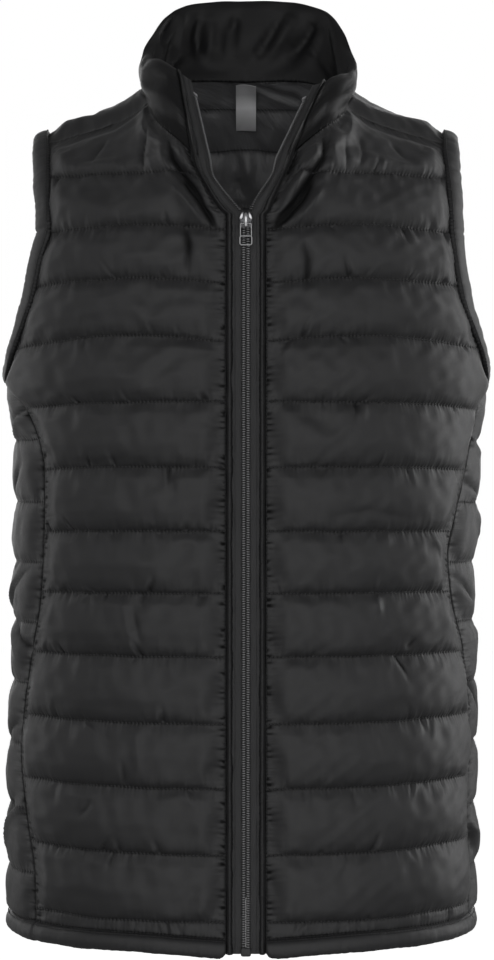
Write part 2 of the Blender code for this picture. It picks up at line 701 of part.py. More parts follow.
def build_zip_strips(side, collection):
    name = SIDE_NAMES[side]
    levels = strip_levels(HEM_EDGE_Z + 0.0015)
    build_strip("zip_tape_" + name, side, levels, TAPE_PROFILE, "tape", collection)
    build_strip("front_band_" + name, side, strip_levels(HEM_EDGE_Z), BAND_PROFILE, "shell", collection)
    open_levels = [level for level in levels if COIL_OPEN_START < level < COIL_TOP_SHARE]
    coil_levels = [COIL_OPEN_START] + open_levels + [COIL_TOP_SHARE]
    build_strip("zip_coil_" + name, side, coil_levels, COIL_PROFILE, "coil", collection)


def build_chain(collection):
    """The closed coil from the retaining box to the slider."""
    count = 14
    top = SLIDER_TOP_Z - 0.0030
    sections = []
    for i in range(count + 1):
        z = mix(BOX_TOP_Z + SEAM_GAP, top, i / count)
        point, normal = front_point(RIGHT, 0.001, z)
        point[0] = 0.0
        normal = np.array((0.0, normal[1], normal[2]))
        across = np.array((CHAIN_HALF_WIDTH, 0.0, 0.0))
        sections.append(profile_section(point, normal, across, CHAIN_PROFILE))
    make_loft("zip_chain", sections, "coil", collection)


# Hard pieces of the zip

def box(bm, low, high):
    """A box between two corners."""
    low, high = Vector(low), Vector(high)
    made = bmesh.ops.create_cube(bm, size=1.0)
    bmesh.ops.scale(bm, vec=high - low, verts=made["verts"])
    bmesh.ops.translate(bm, vec=(low + high) / 2, verts=made["verts"])


def box_object(name, low, high, material_name, collection, bevel=0.0):
    bm = bmesh.new()
    box(bm, low, high)
    if bevel:
        bmesh.ops.bevel(bm, geom=bm.edges[:], offset=bevel, segments=2, affect="EDGES", profile=0.5)
    return finish_mesh(bm, name, material_name, collection)


def joined(name, boxes, material_name, collection, helpers):
    """One body from overlapping boxes, by Boolean unions."""
    whole = box_object(name, *boxes[0], material_name, collection)
    for i, (low, high) in enumerate(boxes[1:]):
        extra = box_object(f"{name}_add_{i}", low, high, material_name, helpers)
        extra.hide_render = True
        extra.display_type = "WIRE"
        union = whole.modifiers.new(f"add_{i}", "BOOLEAN")
        union.operation = "UNION"
        union.object = extra
    return whole


def zip_plane_y():
    """How far forward the inner wall lies behind the slider."""
    return front_point(RIGHT, 0.001, SLIDER_TOP_Z - SLIDER_LENGTH / 2)[0][1]


SLIDER_HALF_WIDTH = 0.0057
PLATE_BACK, PLATE_FRONT = 0.0073, 0.0088    # distances out from the inner wall
BRIDGE_HALF_WIDTH = 0.0016
BRIDGE_FRONT = 0.0126
BRIDGE_THICKNESS = 0.0011
PULL_AXIS_OUT = 0.0101
PULL_AXIS_DROP = 0.0098                     # below the slider's top
PULL_THICKNESS = 0.0012
PULL_EYE_HALF = 0.0050
PULL_ARM_WIDTH = 0.0010
PULL_EYE_LENGTH = 0.0098
PULL_LOOP_HALF = 0.0054
PULL_LOOP_LENGTH = 0.0078
PULL_BAR = 0.0013


def build_slider(collection, helpers):
    face = zip_plane_y()
    top, bottom = SLIDER_TOP_Z, SLIDER_TOP_Z - SLIDER_LENGTH
    flange_in = SLIDER_HALF_WIDTH - 0.0012
    bridge_top, bridge_bottom = top - 0.0012, top - 0.0132
    boxes = [
        ((-SLIDER_HALF_WIDTH, face - PLATE_FRONT, bottom), (SLIDER_HALF_WIDTH, face - PLATE_BACK, top)),
        ((-SLIDER_HALF_WIDTH, face - PLATE_BACK - 0.0006, bottom + 0.0006),
         (-flange_in, face - 0.0047, top - 0.0042)),
        ((flange_in, face - PLATE_BACK - 0.0006, bottom + 0.0006),
         (SLIDER_HALF_WIDTH, face - 0.0047, top - 0.0042)),
        ((-BRIDGE_HALF_WIDTH, face - BRIDGE_FRONT, bridge_bottom),
         (BRIDGE_HALF_WIDTH, face - BRIDGE_FRONT + BRIDGE_THICKNESS, bridge_top)),
        ((-BRIDGE_HALF_WIDTH, face - BRIDGE_FRONT + 0.0004, bridge_top - 0.0022),
         (BRIDGE_HALF_WIDTH, face - PLATE_FRONT + 0.0006, bridge_top - 0.0002)),
        ((-BRIDGE_HALF_WIDTH, face - BRIDGE_FRONT + 0.0004, bridge_bottom + 0.0002),
         (BRIDGE_HALF_WIDTH, face - PLATE_FRONT + 0.0006, bridge_bottom + 0.0014)),
    ]
    joined("zip_slider", boxes, "metal", collection, helpers)


def build_pull(collection, helpers):
    """The pull tab hangs from a cross bar under the slider's bridge, on the hinge's axis."""
    axis = Vector((0.0, zip_plane_y() - PULL_AXIS_OUT, SLIDER_TOP_Z - PULL_AXIS_DROP))
    half = PULL_THICKNESS / 2
    eye_end = -PULL_EYE_LENGTH
    loop_end = eye_end - PULL_LOOP_LENGTH
    eye_in = PULL_EYE_HALF - PULL_ARM_WIDTH
    loop_in = PULL_LOOP_HALF - PULL_BAR
    parts = [((-PULL_EYE_HALF, -half, -half), (PULL_EYE_HALF, half, half))]
    for side in (RIGHT, LEFT):
        low, high = sorted((side * eye_in, side * PULL_EYE_HALF))
        parts.append(((low, -half, eye_end - PULL_BAR / 2), (high, half, 0.0)))
        low, high = sorted((side * loop_in, side * PULL_LOOP_HALF))
        parts.append(((low, -half, loop_end), (high, half, eye_end)))
    bar_end = PULL_LOOP_HALF - PULL_BAR / 2
    for bar_bottom in (eye_end - PULL_BAR, loop_end):
        parts.append(((-bar_end, -half, bar_bottom), (bar_end, half, bar_bottom + PULL_BAR)))
    pull = joined("zip_pull", parts, "metal", collection, helpers)
    pull.location = axis
    for union in pull.modifiers:
        union.object.location = axis


def build_stops_and_box(collection):
    for side in (RIGHT, LEFT):
        levels = (COIL_TOP_SHARE + 0.006, COIL_TOP_SHARE + 0.036)
        profile = ((-0.0020, 0.0045), (-0.0020, 0.0074), (0.0020, 0.0074), (0.0020, 0.0045))
        build_strip("zip_stop_" + SIDE_NAMES[side], side, levels, profile, "metal", collection)
    face = front_point(RIGHT, 0.001, BOX_TOP_Z)[0][1]
    box_object("zip_box", (-0.0040, face - 0.0078, HEM_EDGE_Z + 0.0012),
               (0.0040, face - 0.0045, BOX_TOP_Z), "coil", collection, bevel=0.0005)


# Hem and armhole bands, made from the panels' own edge points

# height above the hem's edge, and distance out from the inner wall
HEM_PROFILE = ((0.0159, 0.0000), (0.0030, 0.0002), (0.0003, 0.0022), (0.0000, 0.0050),
               (0.0016, 0.0078), (0.0060, 0.0096), (0.0118, 0.0086), (0.0159, 0.0046))


def build_hem(name, points, normals, collection):
    """A rolled band that hangs from a panel's bottom edge."""
    points = points.copy()
    for end, inner in ((0, 1), (-1, -2)):
        step = points[inner] - points[end]
        points[end] += step / np.linalg.norm(step) * (SEAM_GAP / 2)
    sections = []
    for point, normal in zip(points, normals):
        level = np.array((normal[0], normal[1], 0.0))
        level /= np.linalg.norm(level)
        foot = np.array((point[0], point[1], point[2] - HEM_DEPTH))
        up = np.array((0.0, 0.0, 1.0))
        sections.append([foot + up * height + level * out for height, out in HEM_PROFILE])
    make_loft(name, sections, "shell", collection)


# distance beyond the armhole's stitch line, and distance out from the inner wall
ARMHOLE_PROFILE = ((0.0003, 0.0000), (0.0080, -0.0010), (0.0118, 0.0005), (0.0132, 0.0034),
                   (0.0118, 0.0064), (0.0070, 0.0082), (0.0025, 0.0072), (0.0003, 0.0040))


def build_armhole(side, front, back, collection):
    """A turned band round the armhole, from the panels' edge points and normals."""
    points = np.array([cell[0] for cell in front] + [cell[0] for cell in back])
    normals = np.array([cell[1] for cell in front] + [cell[1] for cell in back])
    count = len(points)
    rings = []
    for i in range(count):
        tangent = points[(i + 1) % count] - points[i - 1]
        normal = normals[i] - tangent * (normals[i] @ tangent) / (tangent @ tangent)
        normal /= np.linalg.norm(normal)
        into_hole = side * np.cross(tangent, normal)
        into_hole /= np.linalg.norm(into_hole)
        rings.append(profile_section(points[i], normal, into_hole, ARMHOLE_PROFILE))
    bm = bmesh.new()
    verts = [[bm.verts.new(point) for point in ring] for ring in rings]
    size = len(ARMHOLE_PROFILE)
    for i in range(count):
        for j in range(size):
            near, far = verts[i], verts[(i + 1) % count]
            k = (j + 1) % size
            bm.faces.new((near[j], near[k], far[k], far[j]))
    finish_mesh(bm, "armhole_band_" + SIDE_NAMES[side], "shell", collection)


def armhole_edges(side, front_grid, back_grid):
    """The front panel's armhole edge going up and the back panel's going down, as one loop."""
    front_points, front_normals = front_grid
    back_points, back_normals = back_grid
    column = -1 if side == LEFT else 0
    front = [(front_points[i, -1], front_normals[i, -1]) for i in range(len(front_points))
             if front_points[i, -1][2] > ARMPIT_Z + 0.004]
    start = ARMPIT_LINE * len(ROW_SHARES)
    back = [(back_points[i, column], back_normals[i, column]) for i in range(start, len(back_points) - 1)]
    return front, list(reversed(back))


LABEL_HALF_WIDTH = 0.0090
LABEL_TOP_Z, LABEL_BOTTOM_Z = 0.0360, -0.0010
LABEL_THICKNESS = 0.0008
LABEL_CLEARANCE = 0.0030


def build_label(collection):
    """A bare label that hangs inside the back of the neck."""
    count = 6
    sections = []
    for i in range(count + 1):
        z = mix(LABEL_BOTTOM_Z, LABEL_TOP_Z, i / count)
        middle, outward = torso_point(LEFT, 89.0, z)
        middle[0] = outward[0] = 0.0
        outward /= np.linalg.norm(outward)
        across = np.array((LABEL_HALF_WIDTH, 0.0, 0.0))
        face = -LABEL_CLEARANCE
        back = face - LABEL_THICKNESS
        sections.append(profile_section(middle, outward, across, ((-1, face), (1, face), (1, back), (-1, back))))
    make_loft("neck_label", sections, "label", collection)


def build_vest():
    for existing in list(bpy.data.objects):
        bpy.data.objects.remove(existing, do_unlink=True)
    vest = bpy.data.collections.new("puffer_vest")
    helpers = bpy.data.collections.new("helpers")
    for made in (vest, helpers):
        bpy.context.scene.collection.children.link(made)
    fronts = {side: build_front(side, vest) for side in (RIGHT, LEFT)}
    back = build_back(vest)
    build_collar(vest)
    for side in (RIGHT, LEFT):
        points, normals = fronts[side]
        build_hem("hem_band_front_" + SIDE_NAMES[side], points[0], normals[0], vest)
        build_armhole(side, *armhole_edges(side, fronts[side], back), vest)
        build_zip_strips(side, vest)
    build_hem("hem_band_back", back[0][0], back[1][0], vest)
    build_chain(vest)
    build_slider(vest, helpers)
    build_pull(vest, helpers)
    build_stops_and_box(vest)
    build_label(vest)


build_vest()
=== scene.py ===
"""The looks of the quilted vest: its quilted cloth, stitching, zip and label.

The form repeats the vest's own sizes. +Z is up, the front faces -Y and the wearer's right is at -X.
Sizes are in metres, and those in tables of rows are in millimetres, with turns in degrees. Cloth
between two quilting lines is settled by Blender's cloth simulation, held along its stitching, and
the wrinkles, stitches and zip teeth are added on it.
"""
import math

import bmesh
import bpy
import numpy as np
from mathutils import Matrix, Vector


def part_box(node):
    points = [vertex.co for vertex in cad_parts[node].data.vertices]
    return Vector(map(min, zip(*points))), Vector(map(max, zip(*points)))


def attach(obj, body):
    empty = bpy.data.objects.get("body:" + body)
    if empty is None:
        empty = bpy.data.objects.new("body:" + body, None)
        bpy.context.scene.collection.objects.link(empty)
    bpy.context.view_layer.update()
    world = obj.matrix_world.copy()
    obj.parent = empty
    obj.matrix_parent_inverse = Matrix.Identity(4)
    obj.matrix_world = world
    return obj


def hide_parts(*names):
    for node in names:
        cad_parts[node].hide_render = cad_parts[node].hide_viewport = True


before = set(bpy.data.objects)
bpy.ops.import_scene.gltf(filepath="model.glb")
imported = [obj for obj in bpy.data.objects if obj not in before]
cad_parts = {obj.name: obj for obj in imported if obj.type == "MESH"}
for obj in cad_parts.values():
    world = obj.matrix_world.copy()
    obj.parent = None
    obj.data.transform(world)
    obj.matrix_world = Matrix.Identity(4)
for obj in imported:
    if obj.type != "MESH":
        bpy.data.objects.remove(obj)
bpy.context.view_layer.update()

MILLIMETRES = 1000.0            # in a metre
RIGHT, LEFT = -1, 1
SIDE_NAMES = {RIGHT: "right", LEFT: "left"}

# Driving dimensions
HEM_EDGE_Z = -0.703
HEM_DEPTH = 0.016               # from the hem stitch down to the edge
ARMPIT_Z = -0.2345
ROUNDNESS = 2.3                 # exponent of the torso's horizontal sections
SHOULDER_DROP_FRONT = 0.135     # height over which a shoulder rounds into the chest
SHOULDER_DROP_BACK = 0.15
SEAM_THICKNESS = 0.004          # wall at a seam
LINE_THICKNESS = 0.0036         # wall at a quilting line
PUFF = 0.0074                   # what a full puff adds to that
EDGE_FADE = 0.02                # puffs die out over this distance at a panel's edge
FULL_ROW = 0.05                 # rows at least this high puff out fully
STRIP_WIDTH = 0.016             # from the zip's middle to the quilted panel

# Torso sections of the inner wall, bottom to top: half widths each side, depths front and back,
# and how far out each side seam lies
TORSO_COLUMNS = ("z", "half_right", "half_left", "front", "back", "seam_right", "seam_left")
TORSO_SECTIONS = (
    (-703, 193, 185.5, 120, 118, 170, 183.5), (-687, 196, 188.5, 120, 118, 170, 183.5),
    (-645, 195, 188, 119.5, 117, 171, 184), (-600, 194.5, 187.5, 119, 115, 178, 182),
    (-545, 194.5, 188, 118.5, 113, 184, 184.5), (-515, 193, 188.5, 118.5, 112, 181.5, 184),
    (-460, 190, 187, 118, 111, 173.5, 177.5), (-415, 189.5, 185.5, 118, 111, 166, 166.5),
    (-380, 189.5, 186.5, 118.5, 112, 164, 163.5), (-350, 189, 188.5, 119, 113, 163, 169.5),
    (-310, 189, 190, 119.5, 115, 163, 179.5), (-285, 189.5, 190.5, 120, 117, 168, 185),
    (-260, 191.5, 194, 120, 119, 179, 190.5), (-234.5, 198.5, 200, 119.5, 120, 197.3, 198.8),
    (-220, 200.5, 202.5, 119, 121, 197.3, 198.8), (-190, 197.5, 199, 118, 123, 197.3, 198.8),
    (-120, 195, 195.5, 115.5, 125, 193.8, 195.3), (-50, 195, 195.5, 107.5, 123, 193.8, 195.3),
)

# The shoulder's ridge, neck to tip: its height, and how far behind the side line it runs
RIDGE_COLUMNS = ("x", "z", "y")
RIDGE = (
    (0, 42, 50), (30, 41, 46), (45, 39, 42), (60, 34.5, 38), (70, 27, 35), (78, 19, 33), (87, 9, 30),
    (102, -0.8, 25), (115, -6.2, 22), (132, -12.5, 18), (150, -18.5, 13), (169, -25, 8), (190, -32.5, 0),
)

# Armhole edges: how far out the front edges lie, and the back edge's turn round the torso
ARMHOLE_COLUMNS = ("z", "front_right", "front_left", "back_turn")
ARMHOLE = (
    (-234.5, 197.3, 198.8, -7), (-233.5, 196.9, 198.4, -1), (-231, 196.2, 197.7, 6),
    (-225, 194.3, 196, 13), (-216, 191, 193.5, 18.5), (-198, 184.5, 186.8, 23.5),
    (-165, 174.2, 176.2, 27.5), (-135, 167.5, 171, 30), (-105, 158, 168, 31), (-75, 155, 166, 31.5),
    (-45, 159, 166, 31.5), (-22, 168, 168, 32.5),
)

# Quilting lines, bottom to top: height beside the zip (or centre back), in the middle, at the side
FRONT_LINES = (
    (-687, -683.2, -683.5), (-673.5, -673.5, -672), (-620, -619.5, -617), (-567, -566.5, -565),
    (-515, -514.5, -513), (-461, -461, -461), (-410, -410, -411), (-360, -360, -361), (-309, -308, -310),
    (-256, -256, -258.5), (-208, -202, -210.5), (-161, -156, -159), (-118, -113, -116), (-69, -69, -69),
)
BACK_LINES = (
    (-687, -685, -683.5), (-644, -644, -644), (-592, -592, -592), (-539, -539, -539), (-488, -488, -488),
    (-437, -437, -437), (-387, -387, -387), (-337, -337, -337), (-285, -285, -285), (-231, -232, -234.5),
    (-178, -180, -183), (-124, -128, -134), (-70, -77, -88), (-18, -30, -48),
)

# The neck seam and the collar's top edge, from the zip to the centre back
NECK_COLUMNS = ("neck_right", "neck_left", "neck_turn", "top_right", "top_right_z",
                "top_left", "top_left_z", "top_y", "bulge")
NECK_STATIONS = (
    (28.7, 24, -78.3, 46.5, 13, 57, 8.5, -56, 0), (44.7, 40, -72, 58.5, 22, 69, 12.5, -50, 1),
    (62, 60, -61, 73, 34, 82.5, 21, -34, 3), (74.5, 75, -46.5, 81.5, 43, 90, 33, -10, 3),
    (79, 81.5, -33, 82, 56, 88.5, 52, 18, 1), (80.5, 84.5, -12, 73, 79, 80, 78, 43, 0),
    (71.5, 74.5, 8, 57, 101, 64, 100, 61, 1), (43, 44, 14, 32.5, 108, 36.5, 108, 69, 1),
    (0, 0, 16.5, 0, 109.5, 0, 109.5, 70, 0),
)
PANEL_STATION = 1               # the quilted panel and the collar's cloth start here
SHOULDER_STATION = 4            # the shoulder seam meets the neck seam here
LAST_STATION = len(NECK_STATIONS) - 1
SHOULDER_TURN_NECK, SHOULDER_TURN_TIP = -33.0, -26.0
TIP_X = 0.168
FRONT_NECK_SHARE, BACK_NECK_SHARE = 0.42, 0.5       # where the two seams meet on a panel's top edge

# The zip's open edges above the slider: how far out each lies, by height
ZIP_COLUMNS = ("z", "right", "left")
ZIP_OPENING = (
    (-115, 0, 0), (-106, 0, 0), (-104, 2.8, 2.8), (-99, 7.5, 4.8), (-92, 13.5, 8.8), (-86, 18.5, 13),
    (-78, 24.5, 18.4), (-69, 28.7, 24),
)
SLIDER_TOP_Z = -0.104
SLIDER_LENGTH = 0.014
PUFF_SHAPE = ((0.0, 0.0), (0.035, 0.25), (0.2, 0.78), (0.45, 1.0), (0.8, 0.72), (1.0, 0.0))


# Reading the tables

def curve_through(keys, values):
    """A smooth curve through the points, which never overshoots between two of them."""
    keys = np.asarray(keys, float)
    values = np.asarray(values, float)
    steps = np.diff(keys)
    slopes = np.diff(values) / steps
    tangents = np.zeros(len(keys))
    for i in range(1, len(keys) - 1):
        if slopes[i - 1] * slopes[i] > 0:
            before = 2 * steps[i] + steps[i - 1]
            after = steps[i] + 2 * steps[i - 1]
            tangents[i] = (before + after) / (before / slopes[i - 1] + after / slopes[i])
    tangents[0], tangents[-1] = slopes[0], slopes[-1]

    def read(at):
        at = np.clip(at, keys[0], keys[-1])
        i = np.clip(np.searchsorted(keys, at, side="right") - 1, 0, len(steps) - 1)
        t = (at - keys[i]) / steps[i]
        return ((2 * t**3 - 3 * t**2 + 1) * values[i] + (t**3 - 2 * t**2 + t) * steps[i] * tangents[i]
                + (3 * t**2 - 2 * t**3) * values[i + 1] + (t**3 - t**2) * steps[i] * tangents[i + 1])
    return read


def read_columns(columns, rows, key=None):
    """A curve for each column of a table, by its key column, or by the row's number."""
    table = np.array(rows) / [1 if name.endswith("turn") else MILLIMETRES for name in columns]
    keys = table[:, columns.index(key)] if key else np.arange(len(rows))
    return {name: curve_through(keys, table[:, i]) for i, name in enumerate(columns) if name != key}


TORSO = read_columns(TORSO_COLUMNS, TORSO_SECTIONS, "z")
RIDGE_LINE = read_columns(RIDGE_COLUMNS, RIDGE, "x")
ARMHOLE_EDGE = read_columns(ARMHOLE_COLUMNS, ARMHOLE, "z")
NECK = read_columns(NECK_COLUMNS, NECK_STATIONS)
ZIP_EDGE = read_columns(ZIP_COLUMNS, ZIP_OPENING, "z")
PUFF_HEIGHT = curve_through(*zip(*PUFF_SHAPE))


def mix(a, b, share):
    return a + (b - a) * share


def ease(share):
    share = np.clip(share, 0.0, 1.0)
    return share * share * (3 - 2 * share)


def unit(vectors):
    return vectors / np.maximum(np.linalg.norm(vectors, axis=-1, keepdims=True), 1e-12)


def run_along(points):
    """The distance run along a row of points."""
    return np.concatenate(([0.0], np.cumsum(np.linalg.norm(np.diff(points, axis=0), axis=1))))


def read_along(at, run, values):
    """Values at distances along a path."""
    return np.stack([np.interp(at, run, column) for column in values.T], axis=-1)


# Reliefs: height and wave length in millimetres, and how much longer the waves are along v than u
RELIEFS = {
    "waver": (0.28, 45, 1), "sink": (0.2, 16, 1), "lift": (0.22, 60, 0.6), "soft": (0.18, 40, 0.7),
    "line_puckers": (0.4, 6.5, 7), "side_puckers": (1.1, 4.8, 6), "slack": (1.2, 40, 1),
    "band_puckers": (0.22, 7.5, 5), "band_waves": (0.4, 40, 3), "collar": (0.5, 45, 2.5),
    "tape": (0.22, 30, 1), "label": (0.5, 30, 1),
}
RELIEF_WAVES = 7                # that many waves added up


def ripple(kind, u, v, seed):
    """A smooth irregular relief of that kind."""
    height, length, stretch = RELIEFS[kind]
    random = np.random.default_rng(seed)
    total = 0.0
    for _ in range(RELIEF_WAVES):
        angle = random.uniform(0, math.tau)
        pitch = random.uniform(0.7, 1.5) * math.tau / (length / MILLIMETRES)
        total = total + np.sin(pitch * (u * math.cos(angle) + v * math.sin(angle) / stretch)
                               + random.uniform(0, math.tau))
    return height / MILLIMETRES * (total / math.sqrt(RELIEF_WAVES))


# The form: the inner surface of the whole vest, for arrays of places

def half_width(side, z):
    return TORSO["half_" + SIDE_NAMES[side]](z)


def turn_at(side, x, z):
    """The turn from the side line, in degrees, at which the torso is x wide."""
    return np.degrees(np.arccos(np.clip(x / half_width(side, z), 0.0, 1.0) ** (ROUNDNESS / 2)))


def on_torso(side, turn, z):
    """Points of the wall by their turn round the torso: 0 at the side, minus towards the front."""
    turn, z = np.broadcast_arrays(np.radians(turn), np.asarray(z, float))
    behind = turn > 0
    x = half_width(side, z) * np.maximum(np.cos(turn), 0.0) ** (2 / ROUNDNESS)
    face = np.where(behind, 1.0, -1.0)
    drop = np.where(behind, SHOULDER_DROP_BACK, SHOULDER_DROP_FRONT)
    depth = np.where(behind, TORSO["back"](z), TORSO["front"](z)) * np.abs(np.sin(turn)) ** (2 / ROUNDNESS)
    below = np.clip((RIDGE_LINE["z"](x) - z) / drop, 0.0, 1.0)
    middle = RIDGE_LINE["y"](x)
    y = middle + (face * depth - middle) * np.sqrt(1 - (1 - below) ** 2)
    return np.stack((side * x, y, z), axis=-1)


def on_shoulder(side, x, turn):
    """Points of the wall by their turn over the shoulder: 0 on the ridge, minus in front."""
    x, turn = np.broadcast_arrays(np.asarray(x, float), np.radians(turn))
    behind = turn > 0
    face = np.where(behind, 1.0, -1.0)
    drop = np.where(behind, SHOULDER_DROP_BACK, SHOULDER_DROP_FRONT)
    z = RIDGE_LINE["z"](x) - drop * (1 - np.cos(turn))
    share = np.clip(x / half_width(side, z), 0.0, 1.0)
    narrowing = (1 - share**ROUNDNESS) ** (1 / ROUNDNESS)
    depth = np.where(behind, TORSO["back"](z), TORSO["front"](z)) * narrowing
    middle = RIDGE_LINE["y"](x)
    y = middle + (face * depth - middle) * np.abs(np.sin(turn))
    return np.stack((side * x, y, z), axis=-1)


def surface_point(surface, side, a, b, step_a, step_b):
    """Points of the form and their outward normals."""
    across = surface(side, a + step_a, b) - surface(side, a - step_a, b)
    along = surface(side, a, b + step_b) - surface(side, a, b - step_b)
    normal = unit(np.cross(across, along))
    point = surface(side, a, b)
    centre = np.stack((np.zeros_like(point[..., 0]), RIDGE_LINE["y"](np.abs(point[..., 0])),
                       np.full_like(point[..., 0], -0.35)), axis=-1)
    facing = np.sum(normal * (point - centre), axis=-1, keepdims=True)
    return point, normal * np.where(facing < 0, -1.0, 1.0)


def torso_point(side, turn, z):
    return surface_point(on_torso, side, turn, z, 0.3, 0.001)


def shoulder_point(side, x, turn):
    return surface_point(on_shoulder, side, np.maximum(x, 0.001), turn, 0.0008, 1.0)


def front_point(side, x, z):
    """Points of the front wall, x from the middle."""
    return torso_point(side, -turn_at(side, np.maximum(x, 0.001), z), z)


def line_height(lines, index, share):
    """The height of a quilting line at shares of the panel's width."""
    return curve_through((0.0, 0.5, 1.0), np.array(lines[index]) / MILLIMETRES)(share)


def neck_seam(side, station):
    """Points of the neck seam and the wall's normals there."""
    return shoulder_point(side, NECK["neck_" + SIDE_NAMES[side]](station), NECK["neck_turn"](station))


def zip_edge(side, z):
    return ZIP_EDGE[SIDE_NAMES[side]](z)


def strip_spot(side, level, across):
    """How far out and how high the chest lies beside the zip, across metres from it."""
    neck_end = neck_seam(side, 0.0)[0][..., 2]
    station = PANEL_STATION * np.maximum(across, 0.0) / STRIP_WIDTH
    tilt = neck_seam(side, station)[0][..., 2] - neck_end
    open_share = ease((level - SLIDER_TOP_Z) / (neck_end - SLIDER_TOP_Z))
    return np.abs(zip_edge(side, level) + across), level + tilt * open_share


# Panels

def front_edge(side, z):
    """How far out the front panel's side edge lies: side seam, then armhole."""
    name = SIDE_NAMES[side]
    return np.where(z <= ARMPIT_Z, TORSO["seam_" + name](z), ARMHOLE_EDGE["front_" + name](z))


def top_edge(side, share, junction, first_station):
    """How far out and at which turn a panel's top edge lies: the neck seam, then the shoulder seam."""
    station = mix(first_station, SHOULDER_STATION, np.clip(share / junction, 0.0, 1.0))
    x, turn = NECK["neck_" + SIDE_NAMES[side]](station), NECK["neck_turn"](station)
    out = np.clip((share - junction) / (1 - junction), 0.0, 1.0)
    on_neck = share <= junction
    return (np.where(on_neck, x, mix(x, TIP_X, out)),
            np.where(on_neck, turn, mix(SHOULDER_TURN_NECK, SHOULDER_TURN_TIP, out)))


def front_spot(side, share, line, row_share):
    """Inner points and normals at shares of the front panel's width, between two lines."""
    last = len(FRONT_LINES) - 1
    if line < last - 1:
        z = mix(line_height(FRONT_LINES, line, share), line_height(FRONT_LINES, line + 1, share), row_share)
        near = zip_edge(side, z) + STRIP_WIDTH
        return front_point(side, mix(near, front_edge(side, z), share), z)
    start_z = line_height(FRONT_LINES, last - 1, share)
    start_x = mix(STRIP_WIDTH, front_edge(side, start_z), share)
    top, _ = shoulder_point(side, *top_edge(side, share, FRONT_NECK_SHARE, PANEL_STATION))
    near_top, _ = neck_seam(side, PANEL_STATION)
    split = np.minimum((line_height(FRONT_LINES, last, share) - start_z) / (top[..., 2] - start_z), 0.62)
    rise = row_share * split if line == last - 1 else mix(split, 1.0, row_share)
    zip_start = line_height(FRONT_LINES, last - 1, 0.0)
    near_x, near_z = strip_spot(side, mix(zip_start, neck_seam(side, 0.0)[0][2], rise), STRIP_WIDTH)
    near = (1 - share) ** 2
    x = mix(start_x, np.abs(top[..., 0]), rise) + near * (near_x - mix(STRIP_WIDTH, abs(near_top[0]), rise))
    z = mix(start_z, top[..., 2], rise) + near * (near_z - mix(zip_start, near_top[2], rise))
    return front_point(side, x, z)


def back_edge_turn(side, z):
    seam = -turn_at(side, TORSO["seam_" + SIDE_NAMES[side]](z), z)
    return np.where(z <= ARMPIT_Z, seam, ARMHOLE_EDGE["back_turn"](z))


def back_spot(side, share, line, row_share):
    """Inner points and normals at shares of the back panel's half width."""
    last = len(BACK_LINES) - 1
    if line < last:
        z = mix(line_height(BACK_LINES, line, share), line_height(BACK_LINES, line + 1, share), row_share)
        return torso_point(side, mix(90.0, back_edge_turn(side, z), share), z)
    z = line_height(BACK_LINES, last, share)
    start_x = np.abs(on_torso(side, mix(90.0, back_edge_turn(side, z), share), z)[..., 0])
    start_turn = np.degrees(np.arccos(1 - (RIDGE_LINE["z"](start_x) - z) / SHOULDER_DROP_BACK))
    end_x, end_turn = top_edge(side, share, BACK_NECK_SHARE, LAST_STATION)
    rise = (line - last + row_share) / 2
    return shoulder_point(side, mix(start_x, end_x, rise), mix(start_turn, end_turn, rise))


def even_rows(spot, side, line_count, spacing):
    """Rows of a panel's grid, (line below, share of the way up), about that far apart."""
    rows = []
    for line in range(line_count):
        shares = np.linspace(0.0, 1.0, 31)
        middle, edge = (np.array([spot(side, np.array([at]), line, share)[0][0] for share in shares])
                        for at in (0.5, 1.0))
        steps = np.maximum(np.diff(run_along(middle)), 0.45 * np.diff(run_along(edge)))
        run = np.concatenate(([0.0], np.cumsum(steps)))
        count = max(round(run[-1] / spacing), 4)
        rows += [(line, float(np.interp(run[-1] * i / count, run, shares))) for i in range(count)]
    return rows + [(line_count - 1, 1.0)]


def even_shares(spot, side, line, low, high, spacing):
    shares = np.linspace(low, high, 61)
    run = run_along(spot(side, shares, line, 0.5)[0])
    count = max(round(run[-1] / spacing), 2)
    return np.interp(np.linspace(0, run[-1], count + 1), run, shares)


def edge_distances(points):
    """How far each point of a grid lies from its nearest side edge, and from its top edge."""
    across = np.linalg.norm(np.diff(points, axis=1), axis=2)
    run = np.pad(np.cumsum(across, axis=1), ((0, 0), (1, 0)))
    upward = np.linalg.norm(np.diff(points, axis=0), axis=2)
    climb = np.pad(np.cumsum(upward, axis=0), ((1, 0), (0, 0)))
    return run, climb, np.minimum(run, run[:, -1:] - run), climb[-1] - climb


# Round the sides, from there out and over that distance, the cloth is pulled flatter by that share:
# a puff is this high at its quilting lines, plus this share of its own height
SIDE_START_X, SIDE_FADE, SIDE_SHARE = 0.155, 0.03, 0.95
SIDE_PUFF = (0.42, 0.5)
BEHIND_LABEL = (0.015, -0.016, 0.7)     # half width, bottom and share of the lining's flat spot


